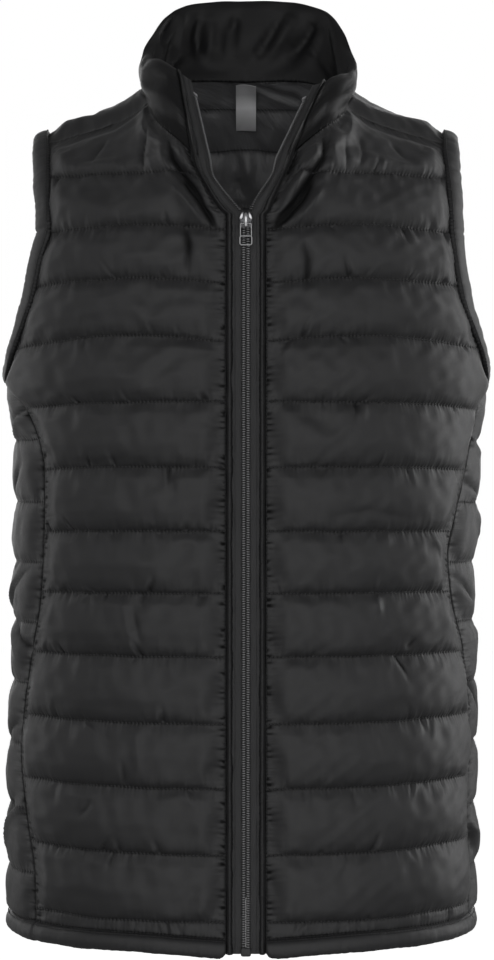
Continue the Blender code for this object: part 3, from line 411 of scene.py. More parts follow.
class Panel:
    """A quilted panel as a grid of points, with what its cloth needs to know of its seams."""

    def __init__(self, name, spot, columns, rows, inward_puff):
        self.name = name
        sides, shares = (np.array(values) for values in zip(*columns))
        self.inner = np.zeros((len(rows), len(columns), 3))
        self.normals = np.zeros_like(self.inner)
        for side in np.unique(sides):
            chosen = sides == side
            for i, (line, row_share) in enumerate(rows):
                self.inner[i, chosen], self.normals[i, chosen] = spot(side, shares[chosen], line, row_share)
        self.run, self.climb, self.side_gap, top_gap = edge_distances(self.inner)
        row_shares = np.array([share for _, share in rows])[:, None]
        self.line_rows = [*np.flatnonzero(row_shares == 0.0), len(rows) - 1]
        below = np.searchsorted(self.line_rows, np.arange(len(rows)), side="right") - 1
        below = np.minimum(below, len(self.line_rows) - 2)
        low = self.climb[np.array(self.line_rows)[below]]
        high = self.climb[np.array(self.line_rows)[below + 1]]
        self.line_gap = np.minimum(self.climb - low, high - self.climb)
        puff = np.minimum((high - low) / FULL_ROW, 1.0) * PUFF_HEIGHT(row_shares)
        x, z = np.abs(self.inner[..., 0]), self.inner[..., 2]
        stretched = SIDE_SHARE * ease((x - SIDE_START_X) / SIDE_FADE) * (z < ARMPIT_Z + SIDE_FADE)
        at_lines, own_share = SIDE_PUFF
        puff = mix(puff, at_lines + own_share * puff, stretched)
        fade = ease(np.minimum(self.side_gap, top_gap) / EDGE_FADE)
        self.thickness = mix(SEAM_THICKNESS, LINE_THICKNESS + PUFF * puff, fade)
        self.thickness[0] = self.thickness[-1] = SEAM_THICKNESS
        self.outer = self.inner + self.normals * self.thickness[:, :, None]
        flat_half_width, flat_bottom_z, flatness = BEHIND_LABEL
        flat_spot = np.exp(-(x / flat_half_width) ** 2) * (z > flat_bottom_z)
        inward = inward_puff * puff * fade * (1 - flatness * flat_spot)
        self.lining = self.inner - self.normals * inward[:, :, None]


FRONT_SPACING, BACK_SPACING = 0.0031, 0.0053        # between a panel's grid points
SPACED_LINE = 6                 # the quilting line along which a panel's columns are spaced
FRONT_INWARD_PUFF, BACK_INWARD_PUFF = 0.0006, 0.0042


def build_layout():
    """The three quilted panels' grids."""
    def shares_of(spot, side, junction, spacing):
        below = even_shares(spot, side, SPACED_LINE, 0.0, junction, spacing)
        return np.concatenate((below, even_shares(spot, side, SPACED_LINE, junction, 1.0, spacing)[1:]))

    panels = {}
    for side, side_name in SIDE_NAMES.items():
        columns = [(side, share) for share in shares_of(front_spot, side, FRONT_NECK_SHARE, FRONT_SPACING)]
        rows = even_rows(front_spot, side, len(FRONT_LINES), FRONT_SPACING)
        name = "front_" + side_name
        panels[name] = Panel(name, front_spot, columns, rows, FRONT_INWARD_PUFF)
    shares = shares_of(back_spot, LEFT, BACK_NECK_SHARE, BACK_SPACING)
    columns = [(RIGHT, share) for share in shares[:0:-1]] + [(LEFT, share) for share in shares]
    rows = even_rows(back_spot, LEFT, len(BACK_LINES) + 1, BACK_SPACING)
    panels["back"] = Panel("back", back_spot, columns, rows, BACK_INWARD_PUFF)
    return panels


# Collar

def collar_top(side, station):
    name = SIDE_NAMES[side]
    return np.stack((side * NECK["top_" + name](station), NECK["top_y"](station),
                     NECK["top_" + name + "_z"](station)), axis=-1)


def collar_frame(side, station):
    """The neck seam's points, the ways up the collar and its outward normals."""
    station = np.asarray(station, float)
    point, panel_normal = neck_seam(side, station)
    step = 0.1
    before = neck_seam(side, np.maximum(station - step, 0.0))[0]
    past = station + step > LAST_STATION
    after = neck_seam(side, np.where(past, 2 * LAST_STATION - station - step, station + step))[0]
    after = after * np.where(past[..., None], np.array((-1.0, 1.0, 1.0)), 1.0)
    up = collar_top(side, station) - point
    normal = unit(np.cross(after - before, up))
    centre = point * np.array((0.0, 0.0, 1.0))
    facing = np.sum(normal * (point - centre), axis=-1, keepdims=True)
    return point, up, normal * np.where(facing < 0, -1.0, 1.0), panel_normal


# Strips along the zip

def strip_point(side, level, across):
    """A point and normal beside the zip's path, across metres from it.

    A level below 0 is a height on the chest, and one above 0 is a share of the collar's height.
    """
    if level > 0:
        station = PANEL_STATION * across / STRIP_WIDTH
        if station < 0:
            edge, _ = strip_point(side, level, 0.0)
            further, normal = strip_point(side, level, -across)
            return 2 * edge - further, normal
        point, up, normal, _ = collar_frame(side, station)
        return point + up * level + normal * NECK["bulge"](station) * 4 * level * (1 - level), normal
    return front_point(side, *strip_spot(side, level, across))


CHEST_LEVELS = (-0.118, -0.112, -0.106, -0.104, -0.101, -0.097, -0.092, -0.087, -0.081, -0.075)
COLLAR_LEVELS = (0.08, 0.2, 0.35, 0.5, 0.65, 0.8, 0.9, 0.97)


def strip_path(side, across, bottom, spacing, top_level=COLLAR_LEVELS[-1]):
    """Evenly spaced points, normals and inward directions along the zip, across metres from it."""
    levels = list(np.linspace(bottom, CHEST_LEVELS[0], 15)[:-1]) if bottom < CHEST_LEVELS[0] else [bottom]
    levels += [level for level in CHEST_LEVELS + COLLAR_LEVELS if bottom < level < top_level] + [top_level]
    points, normals, beside = [], [], []
    for level in levels:
        point, normal = strip_point(side, level, across)
        further, _ = strip_point(side, level, across + 0.002)
        points.append(point)
        normals.append(normal)
        beside.append(further - point)
    run = run_along(np.array(points))
    at = np.linspace(0.0, run[-1], max(int(run[-1] / spacing), 2) + 1)
    tables = [np.array(values) for values in (points, normals, beside)]
    point, normal, out = (np.stack([curve_through(run, table[:, k])(at) for k in range(3)], axis=-1)
                          for table in tables)
    return point, unit(normal), unit(out)


# Objects

def set_all(target, **settings):
    for key, value in settings.items():
        setattr(target, key, value)


def show(name, data, **settings):
    """A new object in the scene."""
    made = bpy.data.objects.new(name, data)
    bpy.context.scene.collection.objects.link(made)
    set_all(made, **settings)
    return made


def grid_quads(index):
    """The faces between a grid's neighbouring points."""
    quads = np.stack((index[:-1, :-1], index[:-1, 1:], index[1:, 1:], index[1:, :-1]), axis=-1)
    return quads.reshape(-1, 4).tolist()


# Cloth simulation

CLOTH_GRAVITY = 0.1             # a share of the real one, as the fill holds the cloth up


def softened(moves, held, times):
    """A grid's moves with their smallest bumps taken out, still at rest where the cloth is held."""
    for _ in range(times):
        around = moves[:-2, 1:-1] + moves[2:, 1:-1] + moves[1:-1, :-2] + moves[1:-1, 2:]
        eased = moves.copy()
        eased[1:-1, 1:-1] = moves[1:-1, 1:-1] / 2 + around / 8
        moves = np.where(held[..., None] > 0, moves, eased)
    return moves


def settle(cloths, pressure, growth, cap, frames):
    """Settles grids as cloth, all in one run, under that pressure from inside and a little gravity.

    Each is (grid, held). The cloth grows by that share, and cap is how far a point may move.
    """
    scene = bpy.context.scene
    made = []
    for grid, held in cloths:
        rows, columns = grid.shape[:2]
        mesh = bpy.data.meshes.new("settling")
        mesh.from_pydata(grid.reshape(-1, 3).tolist(), [],
                         grid_quads(np.arange(rows * columns).reshape(rows, columns)))
        cloth = show("settling", mesh)
        group = cloth.vertex_groups.new(name="held")
        for value in np.unique(held):
            group.add(np.flatnonzero(held.ravel() == value).tolist(), float(value), "REPLACE")
        modifier = cloth.modifiers.new("cloth", "CLOTH")
        set_all(modifier.settings, quality=6, mass=0.15, tension_stiffness=25.0, compression_stiffness=25.0,
                shear_stiffness=8.0, bending_stiffness=6.0, air_damping=2.0, vertex_group_mass="held",
                use_pressure=True, uniform_pressure_force=pressure, shrink_min=-growth, shrink_max=-growth)
        modifier.settings.effector_weights.gravity = CLOTH_GRAVITY
        modifier.collision_settings.use_collision = False
        made.append(cloth)
    for step in range(1, frames + 1):
        scene.frame_set(step)
    settled = []
    depsgraph = bpy.context.evaluated_depsgraph_get()
    for cloth, (grid, held) in zip(made, cloths):
        result = cloth.evaluated_get(depsgraph).data
        points = np.empty(len(result.vertices) * 3)
        result.vertices.foreach_get("co", points)
        moved = softened(points.reshape(grid.shape) - grid, held, 2)
        length = np.linalg.norm(moved, axis=-1, keepdims=True)
        settled.append(grid + moved * np.minimum(1.0, cap / np.maximum(length, 1e-9)))
    for cloth in made:
        mesh = cloth.data
        bpy.data.objects.remove(cloth, do_unlink=True)
        bpy.data.meshes.remove(mesh)
    scene.frame_set(1)
    return settled


# Meshes from grids

def refine(grid, breaks=()):
    """Twice as many rows through the same points, with a crease at each break."""
    count = len(grid)
    creased = {0, count - 1, *breaks}
    middle = np.empty((count - 1,) + grid.shape[1:])
    for i in range(count - 1):
        low, high = grid[i], grid[i + 1]
        if i in creased and i + 1 in creased:
            middle[i] = (low + high) / 2
        elif i in creased:
            middle[i] = (3 * low + 6 * high - grid[i + 2]) / 8
        elif i + 1 in creased:
            middle[i] = (3 * high + 6 * low - grid[i - 1]) / 8
        else:
            middle[i] = (9 * (low + high) - grid[i - 1] - grid[i + 2]) / 16
    out = np.empty((2 * count - 1,) + grid.shape[1:])
    out[::2], out[1::2] = grid, middle
    return out


def refine_both(grid, breaks=()):
    """A grid, or a field over it, with twice as many rows and columns."""
    field = grid if grid.ndim == 3 else grid[..., None]
    finer = np.swapaxes(refine(np.swapaxes(refine(field, breaks), 0, 1)), 0, 1)
    return finer.reshape(finer.shape[:grid.ndim])


def grid_normals(points):
    """Normals of a grid, on the side of the cross product of its columns' and rows' ways."""
    return unit(np.cross(np.gradient(points, axis=1), np.gradient(points, axis=0)))


def cover(piece, node=None, body="vest"):
    """Says what a piece moves with, and hides the CAD node that it replaces."""
    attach(piece, body)
    if node:
        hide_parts(node)
    return piece


# the last field is the painted shade of the cloth's creases and gathers, as a share
CLOTH_FIELDS = ("cloth_u", "cloth_v", "cloth_line", "cloth_side", "cloth_fold_shade")


def mesh_from(name, points, faces, material, cloth=(), sharp=None):
    """A smooth closed mesh with its faces pointing out.

    cloth holds (across, up, line gap, side gap, painted shade of its creases and gathers), or as many of them
    as it has.
    """
    mesh = bpy.data.meshes.new(name)
    mesh.from_pydata(np.asarray(points).reshape(-1, 3).tolist(), [], faces)
    bm = bmesh.new()
    bm.from_mesh(mesh)
    bmesh.ops.recalc_face_normals(bm, faces=bm.faces)
    if bm.calc_volume(signed=True) < 0:
        bmesh.ops.reverse_faces(bm, faces=bm.faces)
    bm.to_mesh(mesh)
    bm.free()
    mesh.shade_smooth()
    if sharp:
        mesh.set_sharp_from_angle(angle=math.radians(sharp))
    for key, values in zip(CLOTH_FIELDS, cloth):
        attribute = mesh.attributes.new(key, "FLOAT", "POINT")
        attribute.data.foreach_set("value", np.asarray(values, np.float32).ravel())
    mesh.materials.append(material)
    return show(name, mesh)


def rim_faces(inside, outside, ratio):
    """Faces between a coarse row of points and a finer one, ratio steps to one."""
    faces = []
    for i in range(len(inside) - 1):
        fine = outside[i * ratio:(i + 1) * ratio + 1]
        half = ratio // 2
        faces += [(inside[i], fine[k], fine[k + 1]) for k in range(half)]
        faces.append((inside[i], fine[half], inside[i + 1]))
        faces += [(inside[i + 1], fine[k], fine[k + 1]) for k in range(half, ratio)]
    return faces


def wall_object(name, outer, inner, material, cloth):
    """A closed wall between a fine outer grid and a coarser inner one."""
    ratio = (len(outer) - 1) // (len(inner) - 1)
    fine = np.arange(outer.shape[0] * outer.shape[1]).reshape(outer.shape[:2])
    coarse = np.arange(inner.shape[0] * inner.shape[1]).reshape(inner.shape[:2]) + fine.size
    outer_faces = grid_quads(fine)
    faces = outer_faces + grid_quads(coarse)
    for edge in (np.s_[0], np.s_[-1], np.s_[:, 0], np.s_[:, -1]):
        faces += rim_faces(coarse[edge].tolist(), fine[edge].tolist(), ratio)
    points = np.concatenate((outer.reshape(-1, 3), inner.reshape(-1, 3)))
    fields = [np.concatenate((field.ravel(), field[::ratio, ::ratio].ravel())) for field in cloth]
    piece = mesh_from(name, points, faces, material, fields)
    piece.data.materials.append(LINING_PAINTED_LIGHT)
    inside = (np.arange(len(faces)) >= len(outer_faces)).astype(np.int32)
    piece.data.polygons.foreach_set("material_index", inside)
    return piece


def loft_object(name, sections, material, closed=False, cloth=(), sharp=None):
    """A solid through closed sections (rows of points), capped at its ends or joined in a ring."""
    index = np.arange(sections.shape[0] * sections.shape[1]).reshape(sections.shape[:2])
    joined = np.concatenate((index, index[:1])) if closed else index
    faces = grid_quads(np.concatenate((joined, joined[:, :1]), axis=1))
    if not closed:
        faces += [index[0].tolist(), index[-1][::-1].tolist()]
    return mesh_from(name, sections, faces, material, cloth, sharp)


# Stitches

STITCH_PITCH = 0.0031
STITCH_ARCH = ((0.02, -1.2), (0.2, 0.6), (0.72, 0.6), (0.9, -1.2))      # along the pitch, and out in radii


def tube_faces(rings, ring, first=0):
    """The faces of a capped tube: rings of points, ring points in each, from that first point."""
    faces = []
    for i in range(rings - 1):
        for k in range(ring):
            a, b = first + i * ring + k, first + i * ring + (k + 1) % ring
            faces.append((a, b, b + ring, a + ring))
    faces.append(tuple(range(first + ring - 1, first - 1, -1)))
    faces.append(tuple(range(first + (rings - 1) * ring, first + rings * ring)))
    return faces


def ring_turns(count):
    return np.arange(count) * math.tau / count


def stitch_object(name, lines, pitch=STITCH_PITCH, radius=0.0003):
    """Sewing thread along lines of (points, normals): one short arched stitch after another."""
    along, lift = (np.array(values) for values in zip(*STITCH_ARCH))
    turns = ring_turns(5)
    cosines, sines = np.cos(turns)[:, None], np.sin(turns)[:, None]
    points, faces = [], []
    for path, normals in lines:
        run = run_along(path)
        for start in np.arange(0.0, run[-1] - pitch, pitch):
            at = start + pitch * along
            place = read_along(at, run, path)
            normal = unit(read_along(at, run, normals))
            aside = unit(np.cross(normal, unit(place[-1] - place[0])))
            centre = place + normal * (radius * lift)[:, None]
            faces += tube_faces(len(along), len(turns), len(points) * len(turns))
            for middle, up, out in zip(centre, normal, aside):
                points.append(middle + radius * (cosines * out + sines * up))
    cover(mesh_from(name, np.concatenate(points), faces, THREAD))


# Materials

def node_tree(name):
    made = bpy.data.materials.new(name)
    made.use_nodes = True
    return made, made.node_tree, made.node_tree.nodes["Principled BSDF"]


def feed(node, inputs):
    """Sets a shader node's inputs: each a value, or an output to link."""
    for key, value in inputs.items():
        if isinstance(value, bpy.types.NodeSocket):
            node.id_data.links.new(value, node.inputs[key])
        else:
            node.inputs[key].default_value = value


def add(tree, kind, inputs, **settings):
    """A shader node with its settings and inputs."""
    node = tree.nodes.new(kind)
    set_all(node, **settings)
    feed(node, inputs)
    return node


def calculate(tree, operation, *values):
    return add(tree, "ShaderNodeMath", dict(enumerate(values)), operation=operation).outputs[0]


def multiply(tree, *values):
    return calculate(tree, "MULTIPLY", *values)


def wave(tree, value, pitch):
    """A sine wave of that pitch."""
    return calculate(tree, "SINE", multiply(tree, value, math.tau / pitch))


def tone(color, share=1.0):
    """An opaque colour from its (grey, blue), that bright."""
    grey, blue = color
    return grey * share, grey * share, blue * share, 1.0


def blend_colors(tree, share, first, second):
    return add(tree, "ShaderNodeMix", {0: share, 6: first, 7: second}, data_type="RGBA").outputs[2]


def bumped(tree, *layers):
    """Bump layers one over another: (height, distance in metres, strength)."""
    inputs = {}
    for height, distance, strength in layers:
        inputs.update(Height=height, Distance=distance, Strength=strength)
        inputs["Normal"] = add(tree, "ShaderNodeBump", inputs).outputs[0]
    return inputs["Normal"]


def cloth_fields(tree, count):
    """The cloth's first fields: across, up, and the gaps to a line and a side seam in metres, then the
    painted shade of its folds and gathers.
    """
    return [add(tree, "ShaderNodeAttribute", {}, attribute_name=key).outputs["Fac"]
            for key in CLOTH_FIELDS[:count]]


def noise(tree, across, up, across_scale, up_scale, detail=2.0):
    """Noise on the cloth, with that many waves to the metre each way."""
    vector = add(tree, "ShaderNodeCombineXYZ", {0: multiply(tree, across, across_scale),
                                                1: multiply(tree, up, up_scale)}).outputs[0]
    return add(tree, "ShaderNodeTexNoise", {"Vector": vector, "Scale": 1.0, "Detail": detail}).outputs[0]


def weave(tree, across, up, pitch):
    """A plain weave's relief, with threads that far apart."""
    return multiply(tree, wave(tree, across, pitch), wave(tree, up, pitch))


def near_seam(tree, gap, reach):
    """1 at a seam, falling off over that distance."""
    return calculate(tree, "EXPONENT", multiply(tree, gap, -1.0 / reach))


def uneven(tree, pattern, middle, spread):
    """A value about that middle, which follows a pattern of 0 to 1."""
    return calculate(tree, "MULTIPLY_ADD", pattern, spread, middle - spread / 2)


def shell_material(name, dark, light, roughness, specular, sheen, wrinkling):
    """Nylon taffeta: fine weave, soft wrinkles, gathers that run away from its stitching, and painted shade
    at its seams and creases.
    """
    made, tree, shader = node_tree(name)
    across, up, line_gap, side_gap, fold = cloth_fields(tree, 5)
    cloudy = noise(tree, across, up, 22.0, 16.0, 3.0)
    fine = noise(tree, across, up, 420.0, 300.0)
    wrinkles = noise(tree, across, up, 60.0, 34.0, 3.0)
    line_puckers = noise(tree, across, up, 260.0, 30.0, 1.0)
    side_puckers = noise(tree, across, up, 30.0, 300.0, 1.0)
    # painted shade: near quilting lines and side seams, and in creases and gathers, the cloth's colour
    # darkens and its specular fades
    on_line, on_stitch = near_seam(tree, line_gap, 0.0009), near_seam(tree, line_gap, 0.0011)
    seam_shade = calculate(tree, "MAXIMUM", on_line, near_seam(tree, side_gap, 0.0012))
    shaded = calculate(tree, "MAXIMUM", multiply(tree, seam_shade, 0.75), fold)
    cloth = blend_colors(tree, cloudy, tone(dark), tone(light))
    feed(shader, {
        "Base Color": blend_colors(tree, shaded, cloth, tone(SHADE)),
        "Specular IOR Level": multiply(tree, calculate(tree, "SUBTRACT", 1.0, shaded), specular),
        "Roughness": uneven(tree, fine, roughness, 0.14),
        "Sheen Weight": sheen,
        "Sheen Roughness": 0.45,
        "Normal": bumped(
            tree,
            (wrinkles, 0.004, wrinkling),
            (multiply(tree, line_puckers, near_seam(tree, line_gap, 0.0045)), 0.0022, 0.55),
            (multiply(tree, side_puckers, near_seam(tree, side_gap, 0.005)), 0.0024, 0.65),
            (multiply(tree, wave(tree, across, STITCH_PITCH), on_stitch), 0.0005, 0.6),
            (weave(tree, across, up, 0.00052), 0.00006, 0.3)),
    })
    return made


def tape_material():
    """The zip's woven tape: a matte herringbone."""
    made, tree, shader = node_tree("tape_woven")
    across, up = cloth_fields(tree, 2)
    cloudy = noise(tree, across, up, 60.0, 25.0)
    slant = wave(tree, calculate(tree, "ADD", across, up), 0.0011)
    feed(shader, {
        "Base Color": blend_colors(tree, cloudy, tone((0.022, 0.023)), tone((0.033, 0.034))),
        "Roughness": 0.62,
        "Specular IOR Level": 0.3,
        "Sheen Weight": 0.04,
        "Normal": bumped(tree, (weave(tree, across, up, 0.0007), 0.00012, 0.6), (slant, 0.00008, 0.4)),
    })
    return made


def plain_material(name, color, roughness, metallic=0.0, scale=900.0, relief=0.00008, variation=0.25,
                   specular=0.5):
    """A hard piece's finish with a fine grain and slight wear in its colour."""
    made, tree, shader = node_tree(name)
    place = add(tree, "ShaderNodeTexCoord", {}).outputs["Object"]
    grain = add(tree, "ShaderNodeTexNoise", {"Vector": place, "Scale": scale, "Detail": 3.0}).outputs[0]
    feed(shader, {
        "Base Color": blend_colors(tree, grain, tone(color, 1 - variation), tone(color, 1 + variation)),
        "Roughness": uneven(tree, grain, roughness, 0.2),
        "Metallic": metallic,
        "Specular IOR Level": specular,
        "Normal": bumped(tree, (grain, relief, 0.4)),
    })
    return made


def metal_material(name, color, roughness):
    return plain_material(name, color, roughness, 1.0, 700.0, 0.00003, 0.15)


LABEL_HALF_WIDTH = 0.009
LABEL_TOP_Z, LABEL_BOTTOM_Z = 0.036, -0.001
LABEL_HEIGHT = LABEL_TOP_Z - LABEL_BOTTOM_Z
LABEL_GAP, LABEL_THICKNESS = 0.0034, 0.0005         # before the inner wall
LABEL_CURL = 0.0008             # its sides curl forward by this much


def label_material():
    """Grey satin, lighter towards its middle, with fine ribs across."""
    made, tree, shader = node_tree("label_satin")
    across, up = cloth_fields(tree, 2)
    shade = add(tree, "ShaderNodeValToRGB", {"Fac": multiply(tree, up, 1 / LABEL_HEIGHT)})
    low, high = shade.color_ramp.elements
    low.color, high.color = tone((0.22, 0.225)), tone((0.3, 0.307))
    shade.color_ramp.elements.new(0.62).color = tone((0.6, 0.612))
    feed(shader, {
        "Base Color": shade.outputs["Color"],
        "Roughness": 0.36,
        "Sheen Weight": 0.15,
        "Normal": bumped(tree, (noise(tree, across, up, 60.0, 60.0), 0.0006, 0.4),
                         (wave(tree, up, 0.00045), 0.00005, 0.5)),
    })
    return made


SHADE = (0.002, 0.002)          # the colour of deep folds
SHELL = shell_material("shell_nylon", (0.01, 0.0107), (0.015, 0.0159), 0.5, 0.36, 0.05, 0.03)
# painted light: the lining's colour is made lighter to brighten the shaded inside of the vest
LINING_PAINTED_LIGHT = shell_material("lining_nylon_painted_light", (0.056, 0.0585), (0.077, 0.0805), 0.42, 0.5, 0.1, 0.6)
BAND_CLOTH = shell_material("band_nylon", (0.008, 0.0086), (0.012, 0.0127), 0.5, 0.3, 0.03, 0.03)
COLLAR_CLOTH = shell_material("collar_nylon", (0.0045, 0.0049), (0.0075, 0.008), 0.48, 0.19, 0.01, 0.12)
THREAD = plain_material("thread", (0.012, 0.013), 0.55, scale=2500.0, relief=0.00004)
TAPE = tape_material()
COIL = plain_material("coil_nylon", (0.15, 0.154), 0.22, scale=1500.0, relief=0.00002, specular=1.0)
CORE_CORD = plain_material("core_cord", (0.006, 0.006), 0.75, scale=2200.0, relief=0.00006)
BOX_PLASTIC = plain_material("box_plastic", (0.014, 0.015), 0.62, relief=0.00004)
# brighter than the slider's dark finish: on its wings and bridge it is a painted highlight, on top of the
# real highlights that their rounded fronts catch; the top stops use it too
BRIGHT_METAL_AND_HIGHLIGHT = metal_material("bright_metal_and_highlight", (0.5, 0.51), 0.3)
DARK_METAL = metal_material("slider_enamel", (0.09, 0.094), 0.3)
PULL_METAL = metal_material("pull_metal", (0.32, 0.325), 0.36)
LABEL = label_material()


# Creases placed on the cloth, each a soft trough, or a ridge where its depth is minus: its
# width and depth, and its line of x, z points, seen from the front
FRONT_CREASES = (
    (3, 7, (-64.1, -40), (-59.3, -58.8), (-41.6, -83.7), (-34.4, -96)),
    (5.5, -6.6, (-57, -40), (-51, -58), (-35, -80), (-27.5, -93)),
    (5.5, -3, (-71, -44), (-66, -62), (-49, -87), (-42, -97)),
    (3, 7, (-53, -76), (-40, -92), (-30, -106), (-24, -118)),
    (4.5, -4.4, (-59, -83), (-46, -98), (-36, -111)), (2.6, 5, (-47, -48), (-43, -62), (-36, -74)),
    (3, 7, (63.5, -38), (64, -56.4), (52.3, -74.1), (38.6, -96.6), (25, -109.4)),
    (5.5, -5.2, (56, -40), (56, -56), (45, -73), (31, -94)), (5, -2.6, (71, -44), (70, -62), (59, -79)),
    (3, 7, (54, -79), (45.9, -94.2), (33.8, -107), (20, -119)),
    (4.5, -4.4, (61, -84), (53, -99), (40, -112)), (2.6, 5, (42, -48), (38, -64), (31, -76)),
    (1.9, 3, (-81.5, -30), (-84.8, -52), (-83.9, -70)), (1.9, 2.2, (70, -32), (67, -50), (72, -68)),
    (1.8, 2, (81.2, -40), (82.8, -56), (82, -68)), (1.8, 1.8, (94, -37.4), (96.5, -52), (93, -64)),
    (2.2, 2.2, (120.3, -39), (129, -49), (134, -53.5)), (2.2, 2.2, (-115, -36), (-123, -47), (-128, -56)),
    (3, 3.4, (-49, -112), (-46, -132), (-47.5, -155)), (3.4, 2.8, (47, -125), (51, -142), (49, -165)),
    (3.5, -2.2, (-99, -417), (-95, -440), (-90, -458)), (4, 2, (-93, -412), (-89, -434), (-84, -453)),
    (3, -2, (-88, -517), (-87.5, -536), (-86.8, -553)),
    (3, 1.8, (-100, -546), (-98.5, -556), (-97.5, -565)),
    (3.2, 2, (-125, -578), (-131, -586), (-137, -592)), (3, 2, (-112, -610), (-111, -620), (-110, -631)),
    (3.5, 1.8, (-56, -305), (-59, -318), (-57, -330)),
    (3.6, -2.6, (150, -360), (160, -375), (162.5, -404)),
    (3.6, -2.6, (161, -410), (170, -428), (173.5, -444)),
    (4.2, 2.2, (155, -368), (161, -388), (165, -406)), (3, -2, (105, -412), (106.5, -420), (108.5, -426)),
    (3.4, 2.4, (130, -456), (134.5, -452), (139, -448)),
    (3.4, 2.2, (124, -460), (129, -472), (133.5, -483)), (3.4, 1.8, (80, -560), (86, -572), (90, -585)),
    (6, 1.6, (-150, -300), (-120, -305), (-90, -298)), (6, 1.6, (60, -350), (100, -342), (140, -352)),
)
# The same round the sides, as lines of y, z points seen from each side
SIDE_CREASES = {
    RIGHT: (
        (4, 4.5, (-72, -248), (-50, -258), (-28, -276)), (5, -4, (-66, -260), (-46, -270), (-28, -286)),
        (3.6, 4, (-52, -306), (-30, -322), (-12, -348)), (4, 5, (-60, -390), (-36, -408), (-10, -430)),
        (5.5, -4.6, (-50, -396), (-26, -412), (-4, -428)), (4, 4.6, (-30, -438), (-46, -452), (-62, -462)),
        (5, -3.6, (-20, -440), (-38, -456), (-54, -472)), (3.6, 3.6, (-48, -520), (-26, -532), (-6, -554)),
        (5, -4.6, (-58, -585), (-36, -605), (-26, -632)), (4, 4.6, (-46, -582), (-24, -608), (-18, -640)),
        (3.6, 3.6, (30, -350), (44, -372), (50, -398)), (4, 4, (26, -470), (46, -488), (60, -516)),
        (4, 4, (40, -250), (26, -270), (20, -298)),
    ),
    LEFT: (
        (4, 4.5, (-70, -250), (-46, -264), (-26, -286)), (5, -4, (-60, -264), (-40, -278), (-24, -298)),
        (4, 5, (-58, -315), (-34, -330), (-14, -356)), (5.5, -4.6, (-48, -326), (-26, -342), (-10, -370)),
        (4, 4.6, (-62, -400), (-38, -418), (-16, -448)), (5, -3.6, (-54, -414), (-32, -430), (-14, -458)),
        (3.6, 3.6, (-44, -480), (-24, -498), (-10, -523)), (4, 4.6, (-56, -590), (-34, -608), (-24, -635)),
        (5, -3.6, (-44, -598), (-22, -618), (-14, -640)), (3.6, 3.6, (30, -410), (46, -430), (52, -458)),
        (4, 4, (28, -530), (46, -550), (56, -578)), (4, 4, (42, -256), (28, -276), (20, -304)),
    ),
}
# And on the back, seen from the front
BACK_CREASES = (
    (3.6, 3, (-99, -115), (-95, -140), (-90, -162)), (3.6, 3, (87, -142), (89, -162), (86, -179)),
    (3.4, 2.6, (-60, -340), (-64, -360), (-61, -380)), (3.6, 3, (105, -390), (113, -407), (118, -428)),
    (3.6, -2.6, (96, -394), (103, -411), (108, -432)),
    (3.4, 2.6, (-118, -442), (-124, -458), (-126, -480)), (3, 2.6, (30, -496), (33, -512), (30, -530)),
    (3.6, 3, (-78, -596), (-70, -612), (-66, -633)), (3.6, 2.8, (124, -550), (130, -564), (132, -585)),
    (5, 2.4, (-140, -210), (-110, -216), (-80, -208)),
)
# On the lining behind the open neck
LINING_CREASES = (
    (4.5, 3.4, (-13, 40), (-16, 31), (-20, 19)), (4.5, 3.4, (40, 37), (43, 29), (48, 19)),
    (4.5, -2.6, (13, 39), (25, 34), (37, 28)), (4.5, 3.4, (-23, 12), (-19, -3), (-15, -18)),
    (5, 3.4, (8, -8), (11, -19), (14, -30)), (5, 3.6, (-12, -17), (-9, -30), (-4, -42)),
    (5, -3, (29, 3), (23, -8), (18, -21)), (5.5, 5, (-13, -42), (-5, -51), (2, -60)),
    (5, -3, (1, -26), (1, -38), (-1, -50)), (5, 3, (-35, -10), (-30, -23), (-26, -35)),
    (5, 3, (38, -6), (33, -20), (26, -34)), (6, 2.6, (-50, 24), (-20, 21.5), (10, 25), (40, 23.5)),
)


def crease_depth(points, creases, axes=(0, 2)):
    """How far creases push in each point, by its x and z, or by the axes given."""
    total = np.zeros(points.shape[:-1])
    place = points[..., axes]
    for width, depth, *line in creases:
        line = np.array(line) / MILLIMETRES
        run = run_along(line)
        nearest = np.full(total.shape, np.inf)
        along = np.zeros(total.shape)
        for i, way in enumerate(np.diff(line, axis=0)):
            share = np.clip(((place - line[i]) @ way) / (way @ way), 0.0, 1.0)
            gap = np.linalg.norm(place - (line[i] + share[..., None] * way), axis=-1)
            along = np.where(gap < nearest, mix(run[i], run[i + 1], share) / run[-1], along)
            nearest = np.minimum(gap, nearest)
        fade = np.sqrt(np.sin(math.pi * np.clip(along, 0.02, 0.98)))
        total += depth / MILLIMETRES * np.exp(-(nearest / (width / MILLIMETRES)) ** 1.25) * fade
    return total


def wedge_creases(u, v, line_rows, seed):
    """Short uneven creases that run out of the quilting lines, as depths over the cloth."""
    random = np.random.default_rng(seed)
    depth = np.zeros(u.shape)
    step = np.median(np.diff(v, axis=0))
    for row in line_rows:
        at = 0.0
        while True:
            at += WEDGE_GAP + random.exponential(WEDGE_SPACING)
            if at > u[row, -1]:
                break
            width = random.uniform(*WEDGE_WIDTHS)
            length = WEDGE_REACH * random.uniform(0.12, 1.0) ** 1.3
            count = int(length / step) + 2
            slant, strength = random.normal(0.0, 0.4), 0.25 + 1.3 * random.random() ** 3
            way = random.choice((-1, 1))
            rows = slice(row, row + count) if way > 0 else slice(max(row - count, 0), row + 1)
            rise = (v[rows] - v[row]) * way
            share = rise / length
            aside = u[rows] - at - slant * rise
            beside = np.exp(-((aside - 2 * width) / (1.3 * width)) ** 2)
            fold = np.exp(-(aside / width) ** 2) - 0.55 * beside
            fade = np.clip(1 - share, 0.0, 1.0) ** 1.2 * ease(share / 0.06)
            depth[rows] += WEDGE_DEPTH * strength * fold * fade
    return depth


# Quilted panels

